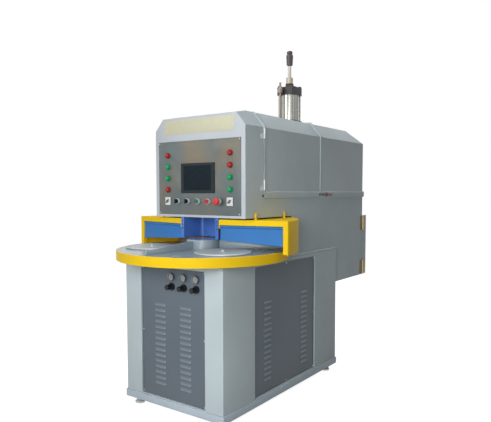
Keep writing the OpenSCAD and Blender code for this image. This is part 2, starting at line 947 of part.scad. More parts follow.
// Column
module column_sides() {
    color("slategray")
    both_sides() along_x(head_x - sheet, head_x)
        polygon([[seam_front, head_z], [column_y, head_z], [column_y, deck_z], [box_wall_y, deck_z],
            [box_wall_y, box_z], [head_back, box_z], [head_back, lip_z], [seam_front, lip_z]]);
}

module column_plates() {
    inner = head_w - 2 * sheet;
    color("slategray") {
        difference() {
            wide(inner, seam_front, wall_y + sheet, head_z, head_z + sheet);
            rod_z(press_ram_r + 20, head_z - eps, head_z + sheet + eps, 0, station_r);
        }
        wide(inner, wall_y, wall_y + sheet, deck_z, head_z);
        wide(inner, wall_y + sheet, head_back - sheet, shelf_z, shelf_z + shelf_t);
        wide(inner, box_wall_y, head_back, box_z, box_z + sheet);
        wide(inner, box_wall_y, box_wall_y + sheet, box_z + sheet, shelf_z);
        wide(inner, head_back - sheet, head_back, rear_door_z, lip_z);
    }
}

// Head: outline of a cross-section, with its chamfers
module head_outline(x, z0, z1, z2, cut) {
    polygon([[-x, z0], [x, z0], [x, z1], [x - cut, z2], [-x + cut, z2], [-x, z1]]);
}

module console_solid(inset, ends) {
    y0 = -head_front + sheet;
    x = head_x - inset;
    side = shoulder_z - inset / 2;
    hull() {
        along_y(y0 - ends, y0 + 0.5) head_outline(x, head_z + inset, side, fascia_z - inset, fascia_cut);
        along_y(console_level_y - 0.5, seam_front + ends)
            head_outline(x, head_z + inset, side, roof_z - inset, roof_cut);
    }
}

// Butt hinge on a vertical pin: the fixed part has the pin and the outer knuckles
module hinge_fixed(x, y, z, l) {
    back = x - hinge_knuckle_r - gap;
    rod_z(hinge_pin_r, z, z + l, x, y);
    for (s = [0, 2]) {
        z0 = z + s * l / 3;
        rod_z(hinge_knuckle_r, z0, z0 + l / 3, x, y);
        slab(back, back + hinge_leaf_t, y - hinge_leaf_w, y - gap, z0, z0 + l / 3);
        slab(back, x - hinge_pin_r, y - hinge_neck, y - gap, z0, z0 + l / 3);
    }
}

module hinge_moving(x, y, y_sheet, z, l) {
    back = x - hinge_knuckle_r - gap;
    z0 = z + l / 3 + gap;
    z1 = z + 2 * l / 3 - gap;
    difference() {
        union() {
            rod_z(hinge_knuckle_r, z0, z1, x, y);
            slab(back, back + hinge_leaf_t, y + gap, y + hinge_leaf_w, z0, z1);
            slab(back - hinge_weld, back + hinge_leaf_t, y_sheet + hinge_weld, y + hinge_leaf_w, z0, z1);
            slab(back, x - hinge_pin_r, y + gap, y + hinge_neck, z0, z1);
        }
        rod_z(hinge_pin_r + run, z - eps, z + l + eps, x, y);
    }
}

// Lift-off hinge: the pin and the lower knuckle are fixed, the upper knuckle goes with the door
module lift_hinge_fixed(x, y, z, l) {
    back = x - hinge_knuckle_r - gap;
    top = z + l * hinge_split;
    rod_z(hinge_pin_r, z, z + l, x, y);
    rod_z(hinge_knuckle_r, z, top, x, y);
    slab(back - hinge_weld, back + hinge_leaf_t, y - hinge_leaf_w, y - gap, z, top);
    slab(back - hinge_weld, x - hinge_pin_r, y - hinge_neck, y - gap, z, top);
}

module lift_hinge_moving(x, y, y_sheet, z, l) {
    back = x - hinge_knuckle_r - gap;
    z0 = z + l * hinge_split + gap;
    difference() {
        union() {
            rod_z(hinge_knuckle_r, z0, z + l, x, y);
            slab(back - hinge_weld, back + hinge_leaf_t, y_sheet + hinge_weld, y + hinge_short, z0, z + l);
            slab(back, x - hinge_pin_r, y + gap, y + hinge_neck, z0, z + l);
        }
        rod_z(hinge_pin_r + run, z - eps, z + l + eps, x, y);
    }
}

module console_shell() {
    color("slategray") {
        difference() {
            console_solid(0, 0);
            console_solid(sheet, eps);
        }
        for (z = hood_hinge_z)
            lift_hinge_fixed(hood_hinge_x, seam_front, z, hood_hinge_l);
    }
}

module fascia() {
    color("gainsboro")
    difference() {
        along_y(-head_front, -head_front + sheet)
            head_outline(head_x, head_z, shoulder_z, fascia_z, fascia_cut);
        wide(panel_w - 2 * fascia_window, -head_front - eps, -head_front + sheet + eps,
            panel_bottom + fascia_window, panel_bottom + panel_h - fascia_window);
    }
}

// Control panel and what sits on it
function row_x(k) = (k - 2) * button_pitch;

function lamp_z(k) = button_z + k * lamp_pitch;

module panel_hole(x, z, r) {
    on_control_panel(x, z) translate([0, 0, -panel_sheet - eps]) cylinder(r = r, h = panel_sheet + 2 * eps);
}

module control_panel() {
    color("darkgray")
    difference() {
        wide(panel_w, panel_face, -head_front, panel_bottom, panel_bottom + panel_h);
        wide(panel_w - 2 * panel_sheet, panel_face + panel_sheet, -head_front + eps, panel_bottom + panel_sheet,
            panel_bottom + panel_h - panel_sheet);
        wide(screen_w - 2 * screen_body_in + 2, panel_face - eps, -head_front, screen_z + screen_body_in - 1,
            screen_z + screen_h - screen_body_in + 1);
        for (k = [0 : 4]) panel_hole(row_x(k), button_z, button_r + hole_play);
        for (s = [-1, 1]) {
            panel_hole(s * lamp_x, button_z, button_r + hole_play);
            for (k = lamp_rows) panel_hole(s * lamp_x, lamp_z(k), button_r + hole_play);
        }
    }
}

module screen_bezel() {
    color([0.12, 0.12, 0.13])
    difference() {
        union() {
            wide(screen_w, panel_face - screen_t, panel_face, screen_z, screen_z + screen_h);
            wide(screen_w - 2 * screen_body_in, panel_face - eps, panel_face + screen_body_d,
                screen_z + screen_body_in, screen_z + screen_h - screen_body_in);
        }
        wide(screen_w - 2 * screen_edge, panel_face - screen_t - eps, panel_face - screen_t / 2,
            screen_z + screen_edge * 0.75, screen_z + screen_h - screen_edge * 0.75);
    }
}

module screen_glass() {
    color([0.2, 0.25, 0.27])
    wide(screen_w - 2 * screen_edge - 2 * panel_gap, panel_face - screen_t / 2 - glass_t,
        panel_face - screen_t / 2, screen_z + screen_edge * 0.75 + panel_gap,
        screen_z + screen_h - screen_edge * 0.75 - panel_gap);
}

module pilot_lamp() {
    dome_r = lamp_r - lamp_edge;
    dome = [for (a = [0 : 15 : 90]) [dome_r * cos(a), lamp_base + (dome_r - lamp_edge) * sin(a)]];
    rotate_extrude() polygon(concat([[0, -barrel_d], [button_r, -barrel_d], [button_r, 0], [lamp_r, 0],
        [lamp_r, lamp_base]], dome));
}

module red_lamps() {
    color("firebrick") {
        for (k = [1, 4]) on_control_panel(-lamp_x, lamp_z(k)) pilot_lamp();
        for (k = [3, 4]) on_control_panel(lamp_x, lamp_z(k)) pilot_lamp();
    }
}

module green_lamps() {
    color("seagreen") {
        for (k = [2, 3]) on_control_panel(-lamp_x, lamp_z(k)) pilot_lamp();
        for (k = [1, 2]) on_control_panel(lamp_x, lamp_z(k)) pilot_lamp();
    }
}

// A collar and the barrel behind it that carries the contacts; a spindle guides a turning actuator
module collar(spindle) {
    bore = button_r + hole_play;
    rotate_extrude() polygon([[bore, 0], [collar_r, 0], [collar_r, 2], [collar_r - 1.5, collar_t],
        [bore, collar_t]]);
    translate([0, 0, -barrel_d]) cylinder(r = button_r, h = barrel_d);
    rotate_extrude() polygon([[button_r - 1, -panel_sheet - 6], [collar_r, -panel_sheet - 6],
        [collar_r, -panel_sheet], [button_r - 1, -panel_sheet]]);
    rotate_extrude() polygon([[0, -eps], [button_r, -eps], [button_r, 0], [collar_r - 0.5, 0],
        [collar_r - 0.5, collar_floor], [0, collar_floor]]);
    if (spindle) cylinder(r = switch_pin_r, h = collar_t + spindle_l);
}

module button_collars() {
    color("silver")
    for (k = [0 : 4]) on_control_panel(row_x(k), button_z) collar(k < 2);
}

module switch_plates() {
    color("whitesmoke")
    for (s = [-1, 1]) on_control_panel(s * lamp_x, button_z) {
        translate([-switch_w / 2, -switch_h / 2, 0]) cube([switch_w, switch_h, switch_t]);
        cylinder(r = switch_boss_r, h = switch_t + switch_boss_t);
        cylinder(r = switch_pin_r, h = switch_t + switch_boss_t + spindle_l);
        translate([0, 0, -barrel_d]) cylinder(r = button_r, h = barrel_d + 1);
    }
}

module push_button() {
    base = collar_floor + button_travel + gap;
    face = collar_t + button_travel;
    translate([0, 0, base]) cylinder(r = button_r, h = face - base);
    translate([0, 0, face]) cylinder(r1 = button_r, r2 = button_r - 1, h = 1);
}

module green_button() {
    color("green") on_control_panel(row_x(2), button_z) push_button();
}

module red_button() {
    color("crimson") on_control_panel(row_x(3), button_z) push_button();
}

module stop_button() {
    base = collar_floor + stop_travel + gap;
    head = collar_t + stop_travel + 2;
    color("red")
    on_control_panel(row_x(4), button_z) rotate_extrude() polygon([[0, base], [button_r, base],
        [button_r, head], [stop_r - 2, head], [stop_r, head + 2], [stop_r, head + 6], [stop_r - 3, head + 11],
        [stop_r - 10, head + 13], [0, head + 13]]);
}

module selector(k) {
    color([0.08, 0.08, 0.08])
    on_control_panel(row_x(k), button_z) difference() {
        union() {
            translate([0, 0, collar_floor + gap]) cylinder(r = button_r, h = collar_t + 2);
            translate([-selector_bar_w / 2, -button_r, collar_t + 2])
                cube([selector_bar_w, 2 * button_r, selector_bar_h]);
        }
        translate([0, 0, -eps]) cylinder(r = switch_pin_r + run, h = collar_t + spindle_l + gap + eps);
    }
}

module switch_handle(s) {
    base = switch_t + switch_boss_t + gap;
    color([0.1, 0.1, 0.1])
    on_control_panel(s * lamp_x, button_z) rotate([0, 0, -45]) difference() {
        union() {
            translate([0, 0, base]) cylinder(r = switch_boss_r - 1, h = switch_bar_h / 2);
            translate([-switch_bar_w / 2, -switch_bar_l / 2, base])
                cube([switch_bar_w, switch_bar_l, switch_bar_h]);
            translate([0, 0, base]) cylinder(r = switch_pin_r + 2, h = switch_bar_h);
        }
        translate([0, 0, -eps]) cylinder(r = switch_pin_r + run, h = base + spindle_l + eps);
    }
}

// Hood: a fixed roof with the left side, a hinged right side and a hipped rear part
module hood_side_profile(z0) {
    polygon([[head_x, z0], [head_x, shoulder_z], [roof_x, roof_z], [roof_x, roof_z - roof_slope_t],
        [head_x - sheet, shoulder_z + sheet * roof_h / roof_cut - roof_slope_t], [head_x - sheet, z0]]);
}

module lip_profile(z0) {
    polygon([[head_x, z0], [head_x + lip_out - lip_bevel, z0],
        [head_x + lip_out, z0 + lip_bevel], [head_x + lip_out, lip_z + lip_h - lip_bevel],
        [head_x + lip_out - lip_bevel, lip_z + lip_h], [head_x, lip_z + lip_h]]);
}

// The roof and the left side are one folded sheet, with a flange under the roof's right edge
module roof_profile() {
    edge = roof_play - roof_x;
    polygon([[head_x, lip_z], [head_x, shoulder_z], [roof_x, roof_z], [edge, roof_z],
        [edge, roof_z - roof_flange], [edge + sheet, roof_z - roof_flange], [edge + sheet, roof_z - sheet],
        [roof_x - (roof_slope_t - sheet) * roof_cut / roof_h, roof_z - sheet],
        [head_x - sheet, shoulder_z + sheet * roof_h / roof_cut - roof_slope_t], [head_x - sheet, lip_z]]);
}

module hood_roof() {
    color("slategray")
    mirror([1, 0, 0]) along_y(seam_front, seam_back) {
        roof_profile();
        lip_profile(lip_z);
    }
}

// The door's front edge is folded up, proud of its skin
module door_edge_profile() {
    low = lip_z + lip_h - lip_bevel;
    out = head_x + strip_out;
    polygon([[head_x - sheet / 2, low], [out, low], [out, shoulder_z + strip_out / 2],
        [roof_x + strip_out / 2, roof_z + strip_out], [roof_x, roof_z + strip_out],
        [roof_x, roof_z - sheet / 2], [head_x - sheet / 2, shoulder_z - sheet / 4]]);
}

module hood_door() {
    color("slategray") {
        along_y(door_y0, door_y1) {
            hood_side_profile(lip_z + gap);
            lip_profile(lip_z + gap);
        }
        difference() {
            along_y(door_y0, door_y0 + door_edge_w) door_edge_profile();
            for (z = hood_hinge_z) slab(head_x, hood_hinge_x + strip_out, door_y0 - eps,
                door_y0 + door_edge_w + eps, z - 2 * gap, z + hood_hinge_l + 2 * gap);
        }
        for (z = hood_hinge_z) lift_hinge_moving(hood_hinge_x, seam_front, door_y0, z, hood_hinge_l);
        slab(latch_face - eps, latch_face + strap_t + eps, door_y1 - strap_pad, door_y1, latch_z - latch_h / 2,
            latch_z + latch_h / 2);
        difference() {
            slab(latch_face + strap_t, latch_face + 2 * strap_t, door_y1 - strap_pad, strap_end,
                latch_z - latch_h / 2, latch_z + latch_h / 2);
            translate([latch_face, staple_y, latch_z]) rotate([0, 90, 0])
                cylinder(r = staple_r + staple_play, h = 4 * strap_t);
        }
    }
}

module rear_outline(inset) {
    x = head_x - inset;
    top = roof_z - inset;
    side = inset > 0 ? shoulder_z + sheet * roof_h / roof_cut - roof_slope_t : shoulder_z;
    cut = (top - side) * roof_cut / roof_h;
    head_outline(x, lip_z - (inset > 0 ? eps : 0), side, top, cut);
}

module rear_solid(inset) {
    low = lip_z - (inset > 0 ? eps : 0);
    y0 = seam_back - (inset > 0 ? eps : 0);
    hip_top = inset > 0 ? shoulder_z + sheet * roof_h / hip_d - hip_slope_t : shoulder_z;
    hull() {
        along_y(y0, head_back - hip_d - inset / 2) rear_outline(inset);
        wide(head_w - 2 * inset, y0, head_back - inset, low, hip_top);
    }
}

module hood_rear() {
    color("slategray") {
        difference() {
            union() {
                rear_solid(0);
                difference() {
                    wide(head_w + 2 * lip_out, seam_back, head_back + lip_out, lip_z, lip_z + lip_h);
                    for (z = [lip_z, lip_z + lip_h]) {
                        for (s = [-1, 1]) translate([s * (head_x + lip_out), 0, z]) rotate([0, 45, 0])
                            cube([lip_bevel, 4 * head_back, lip_bevel] * 1.4, center = true);
                        translate([0, head_back + lip_out, z]) rotate([45, 0, 0])
                            cube([4 * head_back, lip_bevel, lip_bevel] * 1.4, center = true);
                    }
                }
                along_y(seam_back, seam_back + strip_w) head_outline(head_x + strip_out, lip_z + lip_h / 2,
                    shoulder_z + strip_out / 2, roof_z + strip_out, roof_cut + strip_out / 2);
            }
            rear_solid(sheet);
            rod_z(rod_r + 8, roof_z - 20, roof_z + 20, 0, ram_y);
        }
        translate([latch_face - eps, staple_y, latch_z]) rotate([0, 90, 0]) cylinder(r = staple_r, h = 15);
        rod_z(lever_pin_r, latch_z - latch_h / 2 - gap - latch_ear, latch_z + latch_h / 2 + gap + latch_ear,
            lever_pivot_x, lever_pivot_y);
        for (s = [-1, 1]) slab(latch_face - eps, lever_pivot_x + 4, lever_pivot_y - 5, lever_pivot_y + 5,
            latch_z + s * (latch_h + 2 * gap + latch_ear) / 2 - latch_ear / 2,
            latch_z + s * (latch_h + 2 * gap + latch_ear) / 2 + latch_ear / 2);
    }
}

module latch_lever() {
    h = latch_h / 2;
    x0 = latch_face + gap;
    end = lever_pivot_y + lever_l;
    color("firebrick")
    difference() {
        union() {
            rod_z(6, latch_z - h, latch_z + h, lever_pivot_x, lever_pivot_y);
            along_x(x0 + 3, x0 + 9) polygon([[lever_pivot_y, latch_z - h], [end - 6, latch_z - h + 2],
                [end, latch_z - h + 6], [end, latch_z + h - 6], [end - 6, latch_z + h - 2],
                [lever_pivot_y, latch_z + h]]);
        }
        rod_z(lever_pin_r + run, latch_z - h - eps, latch_z + h + eps, lever_pivot_x, lever_pivot_y);
    }
}

// Rear door of the electrical box
module rear_hinges() {
    color("darkgoldenrod")
    for (z = rear_hinge_z) hinge_fixed(rear_hinge_x, rear_hinge_y, z, rear_hinge_l);
}

module rear_door() {
    y0 = head_back + gap;
    color("slategray") {
        difference() {
            wide(head_w, y0, y0 + rear_door_d, box_z, rear_door_z);
            wide(head_w - 2 * sheet, y0 - eps, y0 + rear_door_d - sheet, box_z + sheet, rear_door_z - sheet);
        }
        for (z = rear_hinge_z)
            hinge_moving(rear_hinge_x, rear_hinge_y, y0, z, rear_hinge_l);
    }
}

module control_gear() {
    y = gear_plate_y + gear_plate_t;
    mid = (box_z + shelf_z) / 2;
    low = mid - row_gap - contactor_h;
    left = -head_x + 2 * gear_edge;
    color("lightgray") {
        wide(head_w - 2 * gear_edge, gear_plate_y, y, box_z + gear_edge, shelf_z - gear_edge);
        for (sx = [-1, 1], z = [box_z, shelf_z]) translate([sx * (head_x - 2 * gear_edge), box_wall_y + sheet,
            z + 2 * gear_edge * sign(mid - z)])
            rotate([-90, 0, 0]) cylinder(r = gear_post_r, h = gear_plate_y - box_wall_y - sheet);
        for (k = [0 : 2]) slab(left + k * drive_pitch, left + k * drive_pitch + drive_w, y, y + drive_d, mid,
            mid + drive_h);
        slab(-left - filter_w, -left, y, y + drive_d - row_gap, mid, mid + drive_h);
        for (k = [0 : 6]) slab(left + k * contactor_pitch, left + k * contactor_pitch + contactor_w, y,
            y + contactor_d, low, low + contactor_h);
        wide(-2 * left, y, y + terminal_d, low - row_gap - terminal_h, low - row_gap);
    }
}

// Furnace, pot and dosing pump under the hood
module pot_plan(r, z0, z1) {
    rod_z(r, z0, z1, 0, pot_y0);
    rod_z(r, z0, z1, 0, pot_y0 + pot_l);
    slab(-r, r, pot_y0, pot_y0 + pot_l, z0, z1);
}

module furnace() {
    reach = pot_r + gap + furnace_wall;
    color("rosybrown")
    difference() {
        wide(2 * reach, pot_y0 - reach, pot_y0 + pot_l + reach, furnace_z, pot_rim_z);
        pot_plan(pot_r + gap, pot_z - gap, pot_rim_z + eps);
    }
}

module melting_pot() {
    color("dimgray")
    difference() {
        union() {
            pot_plan(pot_r, pot_z, pot_rim_z + 1);
            pot_plan(pot_r + pot_flange, pot_rim_z, pot_rim_z + pot_flange_t);
        }
        pot_plan(pot_r - pot_t, pot_z + pot_t, pot_rim_z + pot_flange_t + eps);
    }
}

module dosing_pump() {
    bridge_z = pot_rim_z + pot_flange_t;
    color("gray")
    difference() {
        union() {
            rod_z(pump_r, pump_z, pump_top, 0, ram_y);
            wide(2 * (pot_r + pot_flange), ram_y - pump_r - 8, ram_y + pump_r + 8, bridge_z, bridge_z + 10);
            translate([0, ram_y, pipe_z]) rotate([90, 0, 0]) cylinder(r = pipe_r, h = ram_y - station_r);
            translate([0, station_r, pipe_z]) sphere(r = pipe_r);
            rod_z(pipe_r, press_top + gap, pipe_z, 0, station_r);
        }
        rod_z(plunger_r + run, pump_z + 10, pump_top + eps, 0, ram_y);
    }
}

// Press over the casting station
module press_cylinder() {
    z0 = head_z + sheet;
    color("gray")
    translate([0, station_r, 0]) rotate_extrude() polygon([[press_ram_r + run, z0], [press_body_r + 12, z0],
        [press_body_r + 12, z0 + 14], [press_body_r, z0 + 14], [press_body_r, z0 + press_body_h - 14],
        [press_body_r + 6, z0 + press_body_h - 14], [press_body_r + 6, z0 + press_body_h],
        [press_ram_r + run, z0 + press_body_h]]);
}

module press_ram() {
    color("silver")
    translate([0, station_r, 0]) rotate_extrude() polygon([[journal_r + run, press_flange_z],
        [press_ram_r + 18, press_flange_z], [press_ram_r + 18, press_flange_z + press_flange_t],
        [press_ram_r, press_flange_z + press_flange_t], [press_ram_r, press_top], [ram_hole_r, press_top],
        [ram_hole_r, press_flange_z + journal_l], [journal_r + run, press_flange_z + journal_l]]);
}

module press_plate() {
    top = press_plate_z + press_plate_t;
    color("silver")
    translate([0, station_r, 0]) rotate_extrude() polygon([[sprue_r, press_plate_z],
        [press_r - 3, press_plate_z], [press_r, press_plate_z + 3], [press_r, top - 4],
        [press_r - 8, top], [press_ram_r + 10, top],
        [press_ram_r + 4, press_flange_z - thrust], [journal_r, press_flange_z - thrust],
        [journal_r, press_flange_z + journal_l - thrust], [sprue_r, press_flange_z + journal_l - thrust]]);
}

// Roof cylinder that works the dosing plunger
module cylinder_caps() {
    color([0.12, 0.12, 0.13])
    difference() {
        union() {
            round_block(foot_plate_w, 6, roof_z, low_cap_z, 0, ram_y);
            round_block(cap_w, 9, low_cap_z, barrel_z, 0, ram_y);
            round_block(cap_w, 9, top_cap_z, neck_z, 0, ram_y);
            rod_z(cyl_neck_r, neck_z, gland_z, 0, ram_y);
        }
        rod_z(rod_r + run, roof_z - eps, gland_z + eps, 0, ram_y);
    }
}

module cylinder_barrel() {
    color("silver") {
        tube_z(bore_r + barrel_t, bore_r, barrel_z, top_cap_z, 0, ram_y);
        for (sx = [-1, 1], sy = [-1, 1]) {
            rod_z(tie_r, barrel_z, top_cap_z, sx * tie_pitch / 2, ram_y + sy * tie_pitch / 2);
            translate([sx * tie_pitch / 2, ram_y + sy * tie_pitch / 2, neck_z])
                cylinder(r = tie_r * 1.7, h = 9, $fn = 6);
        }
    }
}

module brass_fittings() {
    color("goldenrod") {
        tube_z(gland_r, rod_r + run, gland_z, gland_z + gland_h, 0, ram_y);
        translate([port_x, ram_y - cap_w / 2, elbow_z + elbow_h / 2]) rotate([90, 0, 0])
            cylinder(r = port_r, h = port_l);
        translate([port_x, port_y, 0]) {
            rod_z(elbow_r, elbow_z, elbow_z + elbow_h);
            translate([0, 0, elbow_z + elbow_h]) cylinder(r1 = elbow_r, r2 = vent_r, h = cone_h);
            rod_z(vent_r, elbow_z + elbow_h, elbow_z + elbow_h + cone_h + vent_h);
            rod_z(port_r, roof_z, elbow_z + eps);
        }
    }
}

module dosing_ram() {
    piston_z = top_cap_z - 6 - piston_h;
    color("silver")
    translate([0, ram_y, 0]) {
        rod_z(plunger_r, plunger_z, plunger_top);
        rod_z(rod_r, plunger_top - eps, collar_z);
        rod_z(bore_r - run, piston_z, piston_z + piston_h);
    }
}

module stop_collar() {
    cap_z = collar_z + stop_collar_h;
    top = cap_z + stop_cap_h;
    color([0.2, 0.18, 0.19])
    translate([0, ram_y, 0]) rotate_extrude() polygon([[0, collar_z], [stop_collar_r - 5, collar_z],
        [stop_collar_r - 3, collar_z + 3], [stop_collar_r, cap_z - 8], [stop_collar_r - 1, cap_z - 2],
        [stop_cap_r - 3, cap_z], [stop_cap_r - 3, cap_z + 3], [stop_cap_r, cap_z + 7],
        [stop_cap_r - 1, top - 4], [stop_cap_r - 5, top], [0, top]]);
}

to_frame() levelling_feet();
to_frame() base_plinth();
to_frame() cabinet_shell();
to_frame() deck_plate();
to_frame() front_panel();
to_frame() side_panels();
to_frame() air_set();
to_frame() main_bearing();
to_frame() drive_motors();
to_frame() column_sides();
to_frame() column_plates();
to_frame() console_shell();
to_frame() fascia();
to_frame() control_panel();
to_frame() screen_bezel();
to_frame() screen_glass();
to_frame() red_lamps();
to_frame() green_lamps();
to_frame() button_collars();
to_frame() switch_plates();
to_frame() hood_roof();
to_frame() hood_rear();
to_frame() rear_hinges();
to_frame() drum_guards();
to_frame() bay_shield();
to_frame() furnace();
to_frame() melting_pot();
to_frame() dosing_pump();
to_frame() press_cylinder();
to_frame() cylinder_caps();
to_frame() cylinder_barrel();
to_frame() brass_fittings();
to_frame() control_gear();
to_frame() table_disc();
to_frame() rim_band();
to_frame() table_hub();
to_frame() partition_ribs();
to_frame() mould_plate(0);  // mould_plate_1
to_frame() mould_plate(1);  // mould_plate_2
to_frame() mould_plate(2);  // mould_plate_3
to_frame() press_ram();
to_frame() press_plate();
to_frame() dosing_ram();
to_frame() stop_collar();
to_frame() flap_right();
to_frame() flap_left();
to_frame() hood_door();
to_frame() latch_lever();
to_frame() rear_door();
to_frame() green_button();
to_frame() red_button();
to_frame() stop_button();
to_frame() selector(0);  // selector_1
to_frame() selector(1);  // selector_2
to_frame() switch_handle(-1);  // switch_handle_1
to_frame() switch_handle(1);  // switch_handle_2
to_frame() regulator_knob(0);  // regulator_knob_1
to_frame() regulator_knob(1);  // regulator_knob_2
to_frame() regulator_knob(2);  // regulator_knob_3
to_frame() drive_clutch();
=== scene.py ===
"""Dresses the centrifugal casting machine: finishes, small fittings, studio and camera."""

import json
import logging
import math
from dataclasses import dataclass, field
from enum import Enum
from typing import Callable, Iterable, Sequence, Union

import bmesh
import bpy
from mathutils import Matrix, Vector


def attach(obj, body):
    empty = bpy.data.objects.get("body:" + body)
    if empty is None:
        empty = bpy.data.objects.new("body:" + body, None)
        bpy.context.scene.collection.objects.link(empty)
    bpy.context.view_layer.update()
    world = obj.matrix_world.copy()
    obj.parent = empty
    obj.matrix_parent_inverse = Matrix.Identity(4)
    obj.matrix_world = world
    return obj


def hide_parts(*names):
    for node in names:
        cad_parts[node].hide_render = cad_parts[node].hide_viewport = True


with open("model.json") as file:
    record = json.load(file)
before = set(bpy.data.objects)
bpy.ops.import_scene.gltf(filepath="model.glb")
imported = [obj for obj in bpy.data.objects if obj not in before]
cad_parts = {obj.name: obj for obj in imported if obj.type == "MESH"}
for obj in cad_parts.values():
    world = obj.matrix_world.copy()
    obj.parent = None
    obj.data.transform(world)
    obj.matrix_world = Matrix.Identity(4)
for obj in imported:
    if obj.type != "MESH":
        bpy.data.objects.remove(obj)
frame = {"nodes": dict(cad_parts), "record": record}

LOG = logging.getLogger("casting_machine")
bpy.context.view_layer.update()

# Millimetres along Y from the frame's origin to the turntable axis
AXIS_Y = -486.25
QUARTER_TURN = math.radians(90)
# Angles between faces: flat enough to join, folded enough to round, shallow enough to shade as one
FLAT = math.radians(0.5)
FOLDED = math.radians(25)
SHALLOW = math.radians(24)
# Metres within which points are one, on a copied node and on a turned or cut shape
SAME_POINT = 2e-6
SAME_CUT_POINT = 1e-6
# Faces across a rounded edge
EDGE_STEPS = 2
# Half the thickness of printed numerals, in metres
NUMERAL_DEPTH = 0.00005
# The middle value of soft noise
MIDDLE = 0.5

Colour = tuple[float, float, float]
Place = tuple[float, float, float]
Value = Union[float, Colour, "Flow"]

PURE_WHITE: Colour = (1.0, 1.0, 1.0)


def metres(x: float, y: float, z: float) -> Vector:
    """A step in millimetres as a vector in metres."""
    return Vector((x, y, z)) / 1000


def at(x: float, y: float, z: float) -> Vector:
    """A place in millimetres about the turntable axis and above the floor, as a point of the frame."""
    return metres(x, y + AXIS_Y, z)


def linear(value: int) -> float:
    """One display channel, 0 to 255, as linear light."""
    c = value / 255
    return c / 12.92 if c <= 0.04045 else ((c + 0.055) / 1.055) ** 2.4


def srgb(red: int, green: int, blue: int) -> Colour:
    """A display colour, each channel 0 to 255, as the linear colour that a shader takes."""
    return linear(red), linear(green), linear(blue)


def scaled(colour: Colour, factor: float, lift: float = 0.0) -> Colour:
    """A colour with each channel multiplied by a factor, then lifted and held to 1."""
    return tuple(min(1.0, c * factor + lift) for c in colour)


class Grain(Enum):
    """The way a metal surface was worked, as the stretch of its pattern along each axis."""
    ALONG_X = (0.02, 1.0, 1.0)
    ALONG_Z = (1.0, 1.0, 0.02)
    TURNED = (1.0, 1.0, 0.0)
    CAST = (1.0, 1.0, 1.0)


class Facing(Enum):
    """The side of the machine that a flat fitting looks out of."""
    FRONT = Matrix.Rotation(QUARTER_TURN, 4, "X")
    RIGHT = Matrix.Rotation(QUARTER_TURN, 4, "Z") @ Matrix.Rotation(QUARTER_TURN, 4, "X")
    LEFT = Matrix.Rotation(-QUARTER_TURN, 4, "Z") @ Matrix.Rotation(QUARTER_TURN, 4, "X")


@dataclass(frozen=True)
class Pattern:
    """Soft noise: its cells per metre, its octaves, the weight of the finer ones and the band that shows."""
    scale: float
    detail: float = 3.0
    rough: float = 0.55
    band: tuple[float, float] = (0.0, 1.0)


class Flow:
    """A shader socket that takes part in Python arithmetic."""

    def __init__(self, shader: "Shader", socket: bpy.types.NodeSocket) -> None:
        """Wrap an output socket of a shader's tree."""
        self.shader = shader
        self.socket = socket

    def _maths(self, operation: str, first: Value, second: Value) -> "Flow":
        """Add one Math node on two values."""
        return self.shader.add("ShaderNodeMath", {"operation": operation}, {0: first, 1: second})

    def __add__(self, other: Value) -> "Flow":
        """Add a number or a flow."""
        return self._maths("ADD", self, other)

    def __radd__(self, other: Value) -> "Flow":
        """Add to a number."""
        return self._maths("ADD", other, self)

    def __sub__(self, other: Value) -> "Flow":
        """Take away a number or a flow."""
        return self._maths("SUBTRACT", self, other)

    def __rsub__(self, other: Value) -> "Flow":
        """Take away from a number."""
        return self._maths("SUBTRACT", other, self)

    def __mul__(self, other: Value) -> "Flow":
        """Multiply by a number or a flow."""
        return self._maths("MULTIPLY", self, other)

    def __rmul__(self, other: Value) -> "Flow":
        """Multiply a number."""
        return self._maths("MULTIPLY", other, self)

    def largest(self, other: Value) -> "Flow":
        """The larger of this and another value."""
        return self._maths("MAXIMUM", self, other)

    def between(self, low: float, high: float) -> "Flow":
        """How far the value has come from one number to another, held to 0 and 1."""
        ends = {0: self, 1: low, 2: high, 3: 0.0, 4: 1.0}
        return self.shader.add("ShaderNodeMapRange", {"clamp": True}, ends)


